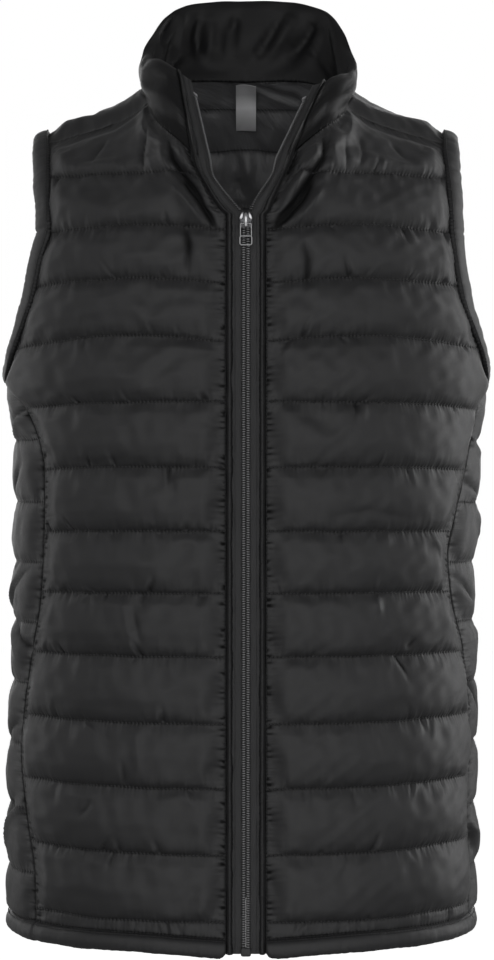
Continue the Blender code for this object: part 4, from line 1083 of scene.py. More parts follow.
WEDGE_DEPTH, WEDGE_SPACING, WEDGE_REACH = 0.0024, 0.012, 0.02
WEDGE_GAP, WEDGE_WIDTHS = 0.005, (0.001, 0.0024)    # at least this far apart, and between these widths
PUCKER_REACH = 0.0055           # puckers die out over this distance from a seam
GATHER_REACH = 0.0035           # the painted shade of a side seam's gathers reaches this far, and then dies out as fast
DEEPEST = 0.72                  # creases sink at most this share of the wall
CHEST_HALF_WIDTH, CHEST_FADE = 0.165, 0.01      # creases seen from the front end past the chest
FLANK_X, FLANK_FADE = 0.15, 0.012               # those seen from a side start here
SETTLING = {"pressure": 1.2, "growth": 0.003, "cap": 0.0025, "frames": 20}


def started(panel, seed):
    """The panel's outer points before it settles, with slightly uneven stitching lines."""
    u, v = panel.run, panel.climb
    fade = ease(panel.side_gap / 0.01)
    lift = ripple("lift", u, v, seed + 2) * ease(panel.line_gap / 0.012)
    moved = panel.outer + panel.normals * ((ripple("sink", u, v, seed + 1) + lift) * fade)[:, :, None]
    moved[1:-1, :, 2] += (ripple("waver", u, v, seed) * fade)[1:-1]
    return moved


def held_points(panel):
    held = np.zeros(panel.inner.shape[:2])
    held[panel.line_rows] = 1.0
    held[:, (0, -1)] = 1.0
    return held


def finish_panel(panel, settled, creases, seed):
    """The panel's fine outer grid from its settled one, with puckers and creases, and its fields, the last of
    them painted shade for its creases and gathers.
    """
    outer, normals, thickness, u, v, line_gap, side_gap = (
        refine_both(field, panel.line_rows)
        for field in (settled, panel.normals, panel.thickness, panel.run, panel.climb,
                      panel.line_gap, panel.side_gap))
    line_gap, side_gap = np.maximum(line_gap, 0.0), np.maximum(side_gap, 0.0)
    line_puckers = ripple("line_puckers", u, v, seed + 3) * np.exp(-line_gap / PUCKER_REACH)
    side_puckers = ripple("side_puckers", v, u, seed + 4) * np.exp(-side_gap / PUCKER_REACH)
    relief = line_puckers * ease(line_gap / 0.0012) + side_puckers + ripple("soft", u, v, seed + 5)
    wedges = wedge_creases(u, v, [2 * row for row in panel.line_rows[1:-1]], seed + 6)
    chest = ease((CHEST_HALF_WIDTH - np.abs(outer[..., 0])) / CHEST_FADE + 1.0)
    placed = crease_depth(outer, creases) * chest
    if panel.name == "back":
        placed *= outer[..., 1] > 0
        for side, lines in SIDE_CREASES.items():
            placed += crease_depth(outer, lines, (1, 2)) * ease((side * outer[..., 0] - FLANK_X) / FLANK_FADE)
    depth = np.minimum(placed + wedges * ease(side_gap / 0.006) - relief, DEEPEST * thickness)
    outer = outer - unit(normals) * (depth * ease(side_gap / 0.004))[:, :, None]
    # painted shade: deep creases and the sunken side of a side seam's puckers darken the cloth's colour
    past_seam = np.maximum(side_gap - GATHER_REACH, 0.0)
    gather_shade = ease((-side_puckers - 0.0001) / 0.0005) * np.exp(-past_seam / GATHER_REACH)
    fold = np.maximum(0.85 * ease((depth - 0.0006) / 0.003), 0.9 * gather_shade)
    return outer, (u, v, line_gap, side_gap, fold)


def build_panels():
    """Settles the quilted panels and makes their walls and quilting stitches."""
    panels = build_layout()
    settled = [started(panel, 11 + 10 * i) for i, panel in enumerate(panels.values())]
    settled = settle([(grid, held_points(panel)) for grid, panel in zip(settled, panels.values())],
                     **SETTLING)
    for i, ((name, panel), grid) in enumerate(zip(panels.items(), settled)):
        creases = BACK_CREASES if name == "back" else FRONT_CREASES
        outer, fields = finish_panel(panel, grid, creases, 51 + 10 * i)
        slack = ripple("slack", panel.run, panel.climb, 91 + i)
        slack = slack * ease(panel.side_gap / 0.02) * ease(panel.line_gap / 0.01)
        lining = panel.lining + panel.normals * slack[:, :, None]
        if name == "back":
            lining = lining + panel.normals * crease_depth(lining, LINING_CREASES)[:, :, None]
        cover(wall_object("cloth_" + name, outer, lining, SHELL, fields), name)
        surface = grid_normals(outer) * (1.0 if name == "front_left" else -1.0)
        sewn = [2 * row for row in panel.line_rows[:-1]]
        stitch_object("stitches_" + name, [(outer[row], surface[row]) for row in sewn])
    return panels


# Bands: rolled sections along an edge

def even_path(points, outward, spacing, closed=False):
    """Points and unit vectors evenly spaced along a path, and how far along they lie."""
    if closed:
        points, outward = (np.concatenate((values, values[:1])) for values in (points, outward))
    run = run_along(points)
    at = np.linspace(0.0, run[-1], max(int(run[-1] / spacing), 2) + 1)
    if closed:
        at = at[:-1]
    return read_along(at, run, points), unit(read_along(at, run, outward)), at


def smoothed(values, times):
    """A closed run of points or vectors with its kinks taken out."""
    for _ in range(times):
        values = (np.roll(values, 1, axis=0) + 2 * values + np.roll(values, -1, axis=0)) / 4
    return values


def rounded_profile(profile, count):
    """A closed profile's points in metres, rounded and evenly spaced."""
    points = np.array(profile + profile[:1]) / MILLIMETRES
    run = run_along(points)
    return smoothed(read_along(np.linspace(0.0, run[-1], count, endpoint=False), run, points), 2)


def swept_band(name, node, place, outward, lateral, at, profile, material, seed, closed=False,
               grooves=(), lap=1.0, rise=0.0):
    """A padded band along a path, with puckers across it. profile is (along lateral, out) millimetres.

    at holds the path's distances, and grooves are some of them. lap is the share of its reach past
    the path, on the side away from lateral, at each point, and rise lifts its edge on the path there.
    """
    pairs = rounded_profile(profile, 26)
    away = unit(pairs - pairs.mean(axis=0))
    size = len(pairs)
    u = np.repeat(at[:, None], size, axis=1)
    v = np.tile(np.arange(size) / size * BAND_GIRTH, (len(at), 1))
    relief = ripple("band_puckers", u, v, seed) + ripple("band_waves", u, v, seed + 1)
    for spot in grooves:
        relief = relief - GROOVE_DEPTH * np.exp(-((u - spot) / GROOVE_WIDTH) ** 2)
    relief = relief * ease(away[:, 1] + 0.6)
    along = pairs[:, 0] * np.where(pairs[:, 0] < 0, np.reshape(lap, (-1, 1)), 1.0) + away[:, 0] * relief
    along = along + np.reshape(rise, (-1, 1)) * (1 - pairs[:, 0] / pairs[:, 0].max())
    out = pairs[:, 1] + away[:, 1] * relief
    sections = place[:, None] + lateral[:, None] * along[..., None] + outward[:, None] * out[..., None]
    # the gap from the edge of the band's section, where the shell's painted shade darkens it
    gap = np.abs(pairs[:, 0] - pairs[:, 0].min()) + 0 * u
    piece = loft_object(name, sections, material, closed, (u, v, gap, FAR_FROM_SEAMS + 0 * u))
    return cover(piece, node)


HEM_PROFILE = ((15.9, 0), (3, 0.2), (0.3, 2.2), (0, 5), (1.6, 7.8), (6, 9.6), (11.8, 8.6), (15.9, 4.6))
ARMHOLE_PROFILE = ((0.3, 0), (8, -1), (11.8, 0.5), (13.2, 3.4), (11.8, 6.4), (7, 8.4), (0.5, 8.4),
                   (-4.2, 7), (-5.8, 3.6), (-4, 1.6), (0, 1.6))
BAND_SPACING = 0.0024
HEM_CORNER = 0.0065             # rounds the hem off at the zip
GROOVE_DEPTH, GROOVE_WIDTH = 0.0012, 0.0022
BAND_GIRTH = 0.04               # round a band's section, near enough for its wrinkles
HEM_SEAM = (0.0148, 0.0072)     # up from the edge, and out
ARMHOLE_SEAM = (0.003, 0.008)   # from the edge into the panel, and out
FAR_FROM_SEAMS = 0.02           # the gap to a side seam, on a piece that has none


def build_hems(panels):
    for number, (panel_name, band_name) in enumerate((("front_right", "hem_band_front_right"),
                                                      ("front_left", "hem_band_front_left"),
                                                      ("back", "hem_band_back"))):
        panel = panels[panel_name]
        level = unit(panel.normals[0] * np.array((1.0, 1.0, 0.0)))
        edge = panel.inner[0] - np.array((0.0, 0.0, HEM_DEPTH))
        place, outward, at = even_path(edge, level, BAND_SPACING)
        upward = np.tile(np.array((0.0, 0.0, 1.0)), (len(place), 1))
        corner = np.clip(1 - at / HEM_CORNER, 0.0, 1.0) * (panel_name != "back")
        swept_band("cloth_" + band_name, band_name, place, outward, upward, at, HEM_PROFILE, SHELL,
                   201 + number, rise=HEM_CORNER * (1 - np.sqrt(1 - 0.9 * corner**2)))
        seam = place + upward * HEM_SEAM[0] + outward * HEM_SEAM[1]
        stitch_object("stitches_" + band_name, [(seam, outward)])


GROOVE_HEIGHTS = (-0.06, -0.114)        # where quilting lines dent the front of an armhole's band
GROOVE_REACH = 0.0013
# The band laps less over the panel low down and on the shoulder: from which height, over what rise,
# and the least share low down, or the share lost higher up
LAP_FADES = ((-0.215, 0.05, 0.15), (-0.05, 0.022, 0.7))


def build_armholes(panels):
    for side, side_name in SIDE_NAMES.items():
        front, back = panels["front_" + side_name], panels["back"]
        column = -1 if side == LEFT else 0
        rising = front.inner[:, -1, 2] > ARMPIT_Z + 0.004
        falling = back.inner[:, column, 2] >= ARMPIT_Z
        points, normals = (np.concatenate((ahead[rising, -1], behind[falling, column][-2::-1]))
                           for ahead, behind in ((front.inner, back.inner), (front.normals, back.normals)))
        place, outward, at = even_path(points, normals, BAND_SPACING, closed=True)
        place = smoothed(place, 3)
        outward = unit(smoothed(outward, 12))
        tangent = unit(np.roll(place, -1, axis=0) - np.roll(place, 1, axis=0))
        outward = unit(outward - tangent * np.sum(outward * tangent, axis=-1, keepdims=True))
        lateral = side * np.cross(tangent, outward)
        z = place[:, 2]
        grooved = np.any([np.abs(z - height) < GROOVE_REACH for height in GROOVE_HEIGHTS], axis=0)
        grooved &= place[:, 1] < 0
        below, above = (ease((z - start) / fade) for start, fade, _ in LAP_FADES)
        least, lost = (share for _, _, share in LAP_FADES)
        lap = (least + (1 - least) * below) * (1 - lost * above)
        name = "armhole_band_" + side_name
        swept_band("cloth_" + name, name, place, outward, lateral, at, ARMHOLE_PROFILE, SHELL, 231 + side,
                   True, at[grooved][::2], lap)
        into_panel, out = ARMHOLE_SEAM
        seam = place - lateral * (into_panel * lap)[:, None] + outward * out
        ring = [np.concatenate((values, values[:1])) for values in (seam, outward)]
        stitch_object("stitches_" + name, [ring])


# Collar

# Up the collar: the share of its height, the share of its bulge, and its wall in metres
COLLAR_PROFILE = ((0.0, 0.0, 0.004), (0.17, 0.0, 0.004), (0.42, 1.0, 0.0094), (0.7, 0.8, 0.0098),
                  (0.92, 0.3, 0.0086), (1.0, 0.0, 0.004))
COLLAR_SETTLING = {"pressure": 1.4, "growth": 0.01, "cap": 0.004, "frames": 16}
COLLAR_SET_IN = 0.35            # the share of its bulk that lies inside the neck's line
COLLAR_LEVELS_UP, *COLLAR_SHAPE = zip(*COLLAR_PROFILE)
COLLAR_BOW, COLLAR_WALL = (curve_through(COLLAR_LEVELS_UP, values) for values in COLLAR_SHAPE)


def collar_sections(stations):
    """The collar's closed sections, right front edge to left: up its outside, down its inside."""
    levels = 1 - (1 - np.linspace(0.0, 1.0, 17)) ** 1.15
    wall = COLLAR_WALL(levels)
    set_in = (wall - SEAM_THICKNESS) * COLLAR_SET_IN
    foot = np.clip(1 - levels / 0.12, 0.0, 1.0)[:, None]
    sections = []
    for side, station in stations:
        point, up, normal, panel_normal = collar_frame(side, station)
        mitre = SEAM_THICKNESS * (panel_normal + normal) / (1 + panel_normal @ normal)
        bulge = NECK["bulge"](station) * COLLAR_BOW(levels)
        base = point + up * levels[:, None] + normal * bulge[:, None]
        outside = base + normal * (wall - set_in)[:, None] + (mitre - normal * SEAM_THICKNESS) * foot
        inside = base - normal * set_in[:, None]
        sections.append(np.concatenate((outside, inside[::-1])))
    return np.array(sections)


# Folds inside the collar's back, listed as the creases are
COLLAR_FOLDS = (
    (5, 8.3, (-88, 90), (-87, 74), (-90, 56)), (5, 7.5, (-64, 96), (-68, 80), (-70, 60)),
    (5.5, -4.5, (-55, 95), (-57, 80), (-59, 64)), (5, 8.3, (-40, 93), (-43, 76), (-41, 56)),
    (5, -4.2, (-31, 90), (-33, 74), (-33, 58)), (4.5, 7.5, (-7, 96), (-13, 80), (-15, 58)),
    (5.5, 8, (34, 97), (24, 80), (13, 64), (6, 54)), (6, -5.1, (43, 96), (33, 78), (23, 60)),
    (5.5, 7.8, (62, 88), (53, 74), (45, 64), (40, 54)), (5, -4.5, (68, 82), (61, 68), (56, 56)),
)


def build_collar():
    half = np.linspace(PANEL_STATION, LAST_STATION, 52)
    stations = [(RIGHT, station) for station in half] + [(LEFT, station) for station in half[-2::-1]]
    start = collar_sections(stations)
    count, size = start.shape[:2]
    u = np.repeat(run_along(start[:, size // 2])[:, None], size, axis=1)
    around = np.linalg.norm(np.diff(start, axis=1), axis=2).mean(axis=0)
    v = np.tile(np.concatenate(([0.0], np.cumsum(around))), (count, 1))
    held = np.ones((count, size))
    held[2:-2, 2:-2] = 0.0
    normals = grid_normals(start)
    wall = start - start[:, ::-1]
    normals = normals * np.where(np.sum(normals * wall, axis=-1, keepdims=True) < 0, -1.0, 1.0)
    free = ease(np.minimum(v, v[:, -1:] - v) / 0.012)
    relief = ripple("collar", u + 0.9 * v, v - 0.5 * u, 301)
    grid = start + normals * (relief * free)[:, :, None]
    grid, = settle([(grid, held)], **COLLAR_SETTLING)
    inside = (np.arange(size) >= size // 2) * ease((grid[..., 1] - 0.02) / 0.02) * free
    folds = np.minimum(crease_depth(grid, COLLAR_FOLDS) * inside, DEEPEST * np.linalg.norm(wall, axis=-1))
    grid = grid - normals * folds[:, :, None]
    u, v = refine_both(u), refine_both(v)
    # gaps to the collar's foot and to its front ends, where its painted shade darkens it
    fields = (u, v, np.minimum(v, v[:, -1:] - v), np.minimum(u, u[-1:] - u))
    collar = loft_object("cloth_collar", refine_both(grid), COLLAR_CLOTH, False, fields)
    cover(collar, "collar")


# Zip

TAPE_EDGES = (0.0003, 0.0125)     # under the coil, and sewn into the band
TAPE_SEAMS = (0.0036, 0.0086)     # across the tape
TAPE_SEAM_OUT = 0.0043
TAPE_STITCHING = (0.0024, 0.00026)        # pitch and radius
TAPE_REAR, TAPE_FRONT = 0.003, 0.0042
TAPE_SPACING = 0.004
BAND_START = 0.0131
BAND_SEAM = (0.0033, 0.0042)      # across the band from its start, and out
ZIP_END = 0.0045                  # tapes and bands stop this far above the hem's edge
BAND_PROFILE = ((10.4, 0), (10.4, 3), (11, 6.6), (12.2, 8.2), (13.8, 8.2), (15, 6.2), (15.6, 3),
                (16.8, 2), (16.8, 0))
TOOTH_PITCH = 0.00194
TOOTH_NARROWING = 0.9           # a tooth's wire is this much narrower along the zip
# One tooth's wire: x, y, z of its middle, and its half width
TOOTH_PATH = ((-1.5, 0.2, 0, 0.36), (-1, 1.4, 0.1, 0.48), (-0.1, 2.1, 0.15, 0.62), (0.8, 1.7, 0.2, 0.52),
              (1.4, 0.8, 0.2, 0.4), (1.5, 0.2, 0.2, 0.34))
TEETH_OUT = 0.0045              # from the inner wall to the foot of the teeth
TEETH_SPREAD = 0.0018           # from the closed zip's middle to the middle of each half's teeth
CORD_OUT = 0.0044
CLOSED_CORD, OPEN_CORD = (0.0012, 0.00115), (0.0008, 0.0008)      # how far across, and radius
OPEN_TEETH_REACH, OPEN_TEETH_SLIM = 0.0006, 0.45    # how far in from the tape's edge, and how narrow
COIL_TOP_SHARE = 0.755          # the open coils end below the collar's top
CHAIN_BOTTOM_Z, CHAIN_TOP_Z = -0.6937, -0.112


def flat_fields(place, across):
    """The cloth fields of a flat strip along a path, across its front and back over its back."""
    u = np.tile(np.concatenate((across, across[::-1])), (len(place), 1))
    v = np.repeat(run_along(place)[:, None], u.shape[1], axis=1)
    return u, v, FAR_FROM_SEAMS + 0 * u, FAR_FROM_SEAMS + 0 * u


def build_bands_and_tapes():
    """The padded strips beside the zip and its woven tapes."""
    bottom = HEM_EDGE_Z + ZIP_END
    start, end = TAPE_EDGES
    for side, side_name in SIDE_NAMES.items():
        band = "front_band_" + side_name
        place, outward, beside = strip_path(side, BAND_START, bottom, BAND_SPACING)
        profile = tuple((across - BAND_START * MILLIMETRES, out) for across, out in BAND_PROFILE)
        swept_band("cloth_" + band, band, place, outward, beside, run_along(place), profile, BAND_CLOTH,
                   251 + side)
        seam = place + beside * BAND_SEAM[0] + outward * BAND_SEAM[1]
        stitch_object("stitches_" + band, [(seam, outward)])

        place, outward, beside = strip_path(side, start, bottom, TAPE_SPACING)
        across = np.linspace(0.0, end - start, 9)
        fields = flat_fields(place, across)
        soft = ripple("tape", fields[1][:, :1], across * 4, 261 + side)
        faces = [place[:, None] + beside[:, None] * steps[:, None] + outward[:, None] * out
                 for steps, out in ((across, TAPE_FRONT + soft[..., None]), (across[::-1], TAPE_REAR))]
        tape = loft_object("tape_" + side_name, np.concatenate(faces, axis=1), TAPE, False, fields, 50)
        cover(tape, "zip_tape_" + side_name)
        lines = []
        for seam in TAPE_SEAMS:
            path, normal, _ = strip_path(side, seam, bottom, TAPE_SPACING)
            lines.append((path + normal * TAPE_SEAM_OUT, normal))
        stitch_object("stitches_tape_" + side_name, lines, *TAPE_STITCHING)


def tooth_shape():
    """One coil turn's closed mesh: a rounded loop from the tape's edge to its bulging head.

    Local axes: x towards the other half, y out from the tape, z along the zip.
    """
    points = np.array([row[:3] for row in TOOTH_PATH]) / MILLIMETRES
    turns = ring_turns(7)
    along_zip = np.array((0.0, 0.0, 1.0))
    rings = []
    for point, way, row in zip(points, unit(np.gradient(points, axis=0)), TOOTH_PATH):
        up = unit(np.cross(way, along_zip))
        rings.append(point + row[3] / MILLIMETRES * (np.cos(turns)[:, None] * along_zip * TOOTH_NARROWING
                                                     + np.sin(turns)[:, None] * up))
    return np.concatenate(rings), tube_faces(len(rings), len(turns))


def teeth_object(name, node, rows, slim=1.0):
    """Coil teeth along rows of (places, towards the other half, out, along), as one mesh.

    slim is the teeth's size along the zip, as a share of the full size.
    """
    shape, shape_faces = tooth_shape()
    shape = shape * np.array((1.0, 1.0, slim))
    points, faces = [], []
    for row in rows:
        for at, *ways in zip(*row):
            first = len(points) * len(shape)
            points.append(at + shape @ np.array(ways))
            faces += [tuple(first + k for k in face) for face in shape_faces]
    cover(mesh_from(name, np.concatenate(points), faces, COIL), node)


def tooth_rows(side, across, bottom, top_level, reach, phase):
    path = strip_path(side, across, bottom, 0.002, top_level)
    run = run_along(path[0])
    at = np.arange(phase * TOOTH_PITCH, run[-1], TOOTH_PITCH)
    point, out, aside = (read_along(at, run, values) for values in path)
    out, aside = unit(out), unit(aside)
    return point + out * TEETH_OUT + aside * reach, -aside, out, unit(np.cross(out, aside)) * side


CORD_FLATNESS = 0.6


def core_cord(name, side, bottom, top_level, across, radius):
    """The cord that a coil is wound and sewn round, along the zip."""
    place, outward, beside = strip_path(side, across, bottom, TAPE_SPACING, top_level)
    turns = ring_turns(8)[None, :, None]
    middle = place + outward * (CORD_OUT + CORD_FLATNESS * radius)
    sections = middle[:, None] + radius * (np.cos(turns) * beside[:, None]
                                           + CORD_FLATNESS * np.sin(turns) * outward[:, None])
    cover(loft_object(name, sections, CORE_CORD))


def build_teeth():
    """The closed coil up to the slider, and the open halves above it, on their cords."""
    closed = []
    for side in SIDE_NAMES:
        start = CHAIN_BOTTOM_Z + (0.5 if side == LEFT else 0.0) * TOOTH_PITCH
        z = np.arange(start, SLIDER_TOP_Z - 0.004, TOOTH_PITCH)
        point, normal = front_point(LEFT, np.full(len(z), 0.001), z)
        point[:, 0] = normal[:, 0] = 0.0
        normal = unit(normal)
        inward = np.tile(np.array((-float(side), 0.0, 0.0)), (len(z), 1))
        upward = unit(np.cross(inward, normal)) * side
        closed.append((point + normal * TEETH_OUT - inward * TEETH_SPREAD, inward, normal, upward))
    teeth_object("teeth_closed", "zip_chain", closed)
    core_cord("core_middle", LEFT, CHAIN_BOTTOM_Z - 0.002, CHAIN_TOP_Z, 0.0, OPEN_CORD[1])
    open_bottom = SLIDER_TOP_Z + 0.001
    for side, name in SIDE_NAMES.items():
        core_cord("core_closed_" + name, side, CHAIN_BOTTOM_Z, CHAIN_TOP_Z, *CLOSED_CORD)
        core_cord("core_open_" + name, side, open_bottom, COIL_TOP_SHARE, *OPEN_CORD)
        row = tooth_rows(side, 0.0, open_bottom, COIL_TOP_SHARE, OPEN_TEETH_REACH, 0.5)
        teeth_object("teeth_open_" + name, "zip_coil_" + name, [row], OPEN_TEETH_SLIM)


# Slider and pull tab, in millimetres from the slider's top, across and up, and out from the wall

SLIDER_PLATE = ((1.1, -1.6), (2.3, -0.2), (3.7, -1.4), (5.0, -3.8), (5.6, -5.6), (5.5, -6.8), (4.9, -8.0),
                (5.0, -12.6), (4.3, -13.8))
SLIDER_WING = ((2.1, -0.3), (2.5, -0.2), (3.6, -1.3), (4.8, -3.6), (5.4, -5.4), (5.1, -6.6), (4.1, -7.0),
               (3.0, -6.4), (2.2, -5.2), (1.9, -2.4))
SLIDER_CHEEK = ((2.3, -8.1), (4.7, -8.1), (4.9, -12.4), (4.2, -13.4), (2.6, -13.2), (2.1, -10.8))
SLIDER_FLANGE = ((5.1, -4.6, 7.4), (5.15, -8.0, 6.6), (5.1, -13.0, 6.6))     # with its place out
BRIDGE_ARCH = ((-1.4, 8.4), (-1.6, 10.6), (-3.0, 12.0), (-5.5, 12.4), (-8.5, 12.3), (-11.2, 11.8),
               (-12.6, 10.4), (-12.9, 8.4))
PULL_AXIS = (-9.8, 10.1)        # up, out
PULL_ARM_X = 4.4
PULL_LOOP = (4.75, -9.9, -17.0)         # half width, and top and bottom below the axis
PULL_RADIUS, EYE_RADIUS = 0.58, 0.48
LOOP_CORNER, EYE_CORNER = 1.5, 0.8
SHIELD_DEPTHS = (7.2, 8.8)      # its back and front
WING_BACK, WING_FRONT, CHEEK_FRONT = 8.3, 10.6, 9.7
ROD_RADIUS, BRIDGE_WIDTH = 0.5, 2.4     # the bridge is that many times as wide as deep


PLATE_EDGE = ((0.0, 0.96), (0.12, 1.0), (0.55, 1.0), (0.8, 0.9), (0.95, 0.7), (1.0, 0.4))


def slider_point(x, up, out, wall_y):
    """A place on the slider, from its millimetres."""
    x, up, out = np.broadcast_arrays(x, up, out)
    return np.stack((x / MILLIMETRES, wall_y - out / MILLIMETRES, SLIDER_TOP_Z + up / MILLIMETRES), axis=-1)


def shrunk(outline, size):
    """An outline's points, drawn in towards its middle to that size."""
    middle = np.mean(outline, axis=0)
    return (middle + (np.array(outline) - middle) * size).T


def metal_piece(name, sections, material, node=None, body="vest", closed=False):
    cover(loft_object(name, sections, material, closed), node, body)


def raised_plate(outline, back, front, wall_y):
    """Sections of a plate between two distances out, with its front edge rounded off."""
    return np.array([slider_point(*shrunk(outline, size), mix(back, front, share), wall_y)
                     for share, size in PLATE_EDGE])


def rod_sections(path, radius, wall_y, closed=False, width=1.0):
    """Sections of a rod along a path of (x, up, out) points, wider than it is deep by that much."""
    path = np.array(path, float)
    around = np.roll(path, -1, axis=0) - np.roll(path, 1, axis=0)
    ways = unit(around if closed else np.gradient(path, axis=0))
    broad = np.array((0.0, 0.0, 1.0) if np.ptp(path[:, 0]) > 0.1 else (1.0, 0.0, 0.0))
    deep = unit(np.cross(ways, broad))
    turns = ring_turns(10)[None, :, None]
    at = path[:, None] + radius * (np.cos(turns) * broad * width + np.sin(turns) * deep[:, None])
    return slider_point(at[..., 0], at[..., 1], at[..., 2], wall_y)


def rounded_rectangle(half_width, top, bottom, radius, out):
    """A closed path round a rectangle with round corners, as (x, up, out)."""
    path = []
    right, left, high, low = half_width - radius, radius - half_width, top - radius, bottom + radius
    for x, up, start in ((right, high, 0), (left, high, 90), (left, low, 180), (right, low, 270)):
        for turn in np.radians(np.linspace(start, start + 90, 6)):
            path.append((x + radius * math.cos(turn), up + radius * math.sin(turn), out))
    return path


def build_slider():
    """The slider's shield, its two wings and its bridge in brighter metal as a partly painted highlight, and
    the pull tab under it.
    """
    wall_y = float(front_point(RIGHT, 0.001, SLIDER_TOP_Z - SLIDER_LENGTH / 2)[0][1])
    shield = SLIDER_PLATE + tuple((-x, up) for x, up in reversed(SLIDER_PLATE))
    metal_piece("slider_shield", raised_plate(shield, *SHIELD_DEPTHS, wall_y), DARK_METAL, "zip_slider")
    # the wings and the bridge get the brighter metal as a painted highlight
    for side, side_name in SIDE_NAMES.items():
        for part, outline, front, material in (("wing", SLIDER_WING, WING_FRONT, BRIGHT_METAL_AND_HIGHLIGHT),
                                               ("cheek", SLIDER_CHEEK, CHEEK_FRONT, DARK_METAL)):
            plate = raised_plate([(side * x, up) for x, up in outline], WING_BACK, front, wall_y)
            metal_piece(f"slider_{part}_{side_name}", plate, material)
        flange = [(side * x, up, out) for x, up, out in SLIDER_FLANGE]
        metal_piece(f"slider_flange_{side_name}", rod_sections(flange, ROD_RADIUS, wall_y), DARK_METAL)
    arch = [(0.0, up, out) for up, out in BRIDGE_ARCH]
    metal_piece("slider_bridge", rod_sections(arch, ROD_RADIUS, wall_y, width=BRIDGE_WIDTH), BRIGHT_METAL_AND_HIGHLIGHT)

    up, out = PULL_AXIS
    half, top, bottom = PULL_LOOP
    loop = rounded_rectangle(half, up + top, up + bottom, LOOP_CORNER, out)
    eye = rounded_rectangle(PULL_ARM_X, up, up + top, EYE_CORNER, out)
    for name, node, path, radius in (("pull_loop", "zip_pull", loop, PULL_RADIUS),
                                     ("pull_eye", None, eye, EYE_RADIUS)):
        metal_piece(name, rod_sections(path, radius, wall_y, True), PULL_METAL, node, "pull", True)


def dress_stops():
    """The CAD's two top stops stay, in bright metal."""
    for side_name in SIDE_NAMES.values():
        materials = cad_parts["zip_stop_" + side_name].data.materials
        materials.clear()
        materials.append(BRIGHT_METAL_AND_HIGHLIGHT)


BOX_HALF_SIZE = (0.0041, 0.0034)
BOX_MIDDLE_Z = -0.6966
BOX_SQUARENESS = 0.42           # exponent of its outline
# From its back to its front: the share of its depth, and its outline's size there
BOX_EDGE = ((0.0, 0.9), (0.06, 0.97), (0.2, 1.0), (0.75, 1.0), (0.92, 0.95), (1.0, 0.86))


def build_box():
    """The retaining box that holds the zip's lower end, with its corners rounded off."""
    turns = ring_turns(40)
    across, up = (np.sign(way) * np.abs(way) ** BOX_SQUARENESS * half
                  for way, half in zip((np.cos(turns), np.sin(turns)), BOX_HALF_SIZE))
    front, back = (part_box("zip_box")[k][1] for k in (0, 1))
    rows = []
    for share, size in BOX_EDGE:
        y = np.full(len(turns), mix(back, front, share))
        rows.append(np.stack((across * size, y, BOX_MIDDLE_Z + up * size), axis=-1))
    cover(loft_object("box_shell", np.array(rows), BOX_PLASTIC), "zip_box")


# Label

def build_label():
    z = np.linspace(LABEL_BOTTOM_Z, LABEL_TOP_Z, 24)
    middle, outward = torso_point(LEFT, np.full(len(z), 89.0), z)
    middle[:, 0] = outward[:, 0] = 0.0
    outward = unit(outward)
    across = np.linspace(-1.0, 1.0, 13)
    curl = LABEL_CURL * across**2 + ripple("label", z[:, None], across * 0.01, 401)
    face = (middle[:, None] + across[:, None] * np.array((LABEL_HALF_WIDTH, 0.0, 0.0))
            - outward[:, None] * (LABEL_GAP + curl)[..., None])
    rear = face[:, ::-1] + outward[:, None] * LABEL_THICKNESS
    fields = flat_fields(middle, across * LABEL_HALF_WIDTH)
    label = loft_object("label", np.concatenate((face, rear), axis=1), LABEL, False, fields, 50)
    cover(label, "neck_label")


# Stage, light and camera

FLOOR_Z = -1.45                 # where the wearer's feet would be
FLOOR_HALF = 12.0
CAMERA_PLACE = (0.0009, -1.8, -0.319)       # level with the middle, 1.8 m in front
CAMERA_LENS = 78.5              # millimetres
MIDDLE = (0.0, 0.0, -0.3)
WHITE = (1.0, 1.0, 1.0, 1.0)
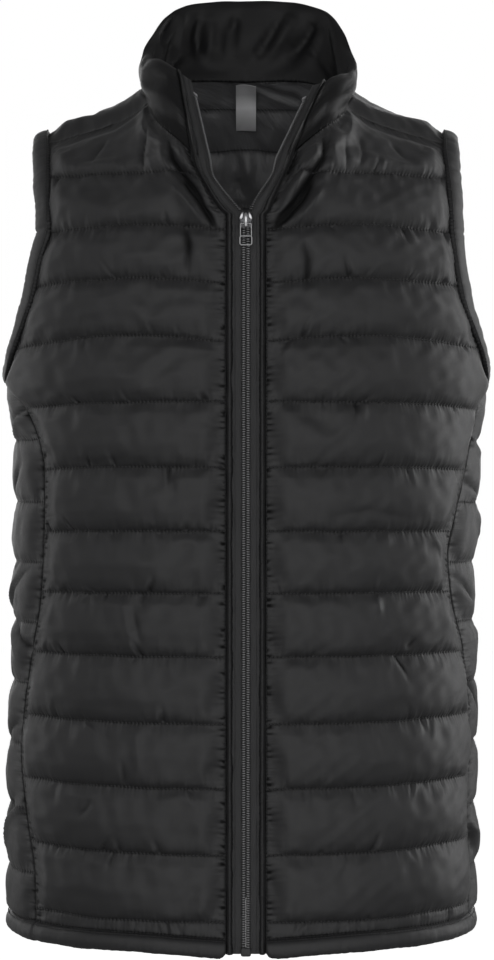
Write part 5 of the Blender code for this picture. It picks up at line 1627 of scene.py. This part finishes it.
# Each light's place and target, its sizes in metres and its watts
LIGHTS = {
    "key": ((-0.8, -2.3, 0.3), MIDDLE, (2.0,), 17.5),
    "fill": ((1.0, -2.3, 0.1), MIDDLE, (1.8,), 14.5),
    "low": ((0.1, -1.35, -1.25), (0.0, -0.1, -0.74), (0.9,), 4.2),
    "back_key": ((0.9, 2.4, 0.5), MIDDLE, (2.0,), 20.0),
    "back_fill": ((-1.1, 2.3, 0.2), MIDDLE, (1.8,), 14.0),
    "rim_right": ((-1.7, 0.3, 0.0), MIDDLE, (0.7, 2.0), 9.5),
    "rim_left": ((1.7, 0.3, 0.0), MIDDLE, (0.7, 2.0), 21.0),
}


def build_stage():
    """A plain pale floor where the wearer's feet would be, a white room and soft lights."""
    mesh = bpy.data.meshes.new("floor")
    corners = [(x * FLOOR_HALF, y * FLOOR_HALF, 0) for x, y in ((-1, -1), (1, -1), (1, 1), (-1, 1))]
    mesh.from_pydata(corners, [], [(0, 1, 2, 3)])
    pale, _, shader = node_tree("floor_pale")
    feed(shader, {"Base Color": tone((0.9, 0.9)), "Emission Color": WHITE, "Emission Strength": 0.8})
    mesh.materials.append(pale)
    show("floor", mesh, location=(0.0, 0.0, FLOOR_Z), visible_glossy=False, visible_diffuse=False)

    scene = bpy.context.scene
    scene.world = bpy.data.worlds.new("room")
    scene.world.use_nodes = True
    tree = scene.world.node_tree
    lit = tree.nodes["Background"]
    feed(lit, {"Color": WHITE, "Strength": 0.22})
    seen = add(tree, "ShaderNodeBackground", {"Color": WHITE, "Strength": 1.0})
    straight = add(tree, "ShaderNodeLightPath", {}).outputs["Is Camera Ray"]
    chosen = add(tree, "ShaderNodeMixShader", {0: straight, 1: lit.outputs[0], 2: seen.outputs[0]})
    feed(tree.nodes["World Output"], {"Surface": chosen.outputs[0]})
    for name, (place, target, sizes, power) in LIGHTS.items():
        data = bpy.data.lights.new(name, "AREA")
        set_all(data, energy=power, size=sizes[0])
        if len(sizes) > 1:
            set_all(data, shape="RECTANGLE", size_y=sizes[1])
        turn = (Vector(target) - Vector(place)).to_track_quat("-Z", "Y").to_euler()
        show(name, data, location=place, rotation_euler=turn)
    set_all(scene.view_settings, view_transform="Standard", look="None")


def build_camera():
    """On the photograph's axis, with a long lens."""
    data = bpy.data.cameras.new("camera")
    data.lens = CAMERA_LENS
    camera = show("camera", data, location=CAMERA_PLACE, rotation_euler=(math.radians(90), 0, 0))
    bpy.context.scene.camera = camera


panels = build_panels()
build_hems(panels)
build_armholes(panels)
build_collar()
build_bands_and_tapes()
build_teeth()
build_box()
build_slider()
dress_stops()
build_label()
build_stage()
build_camera()
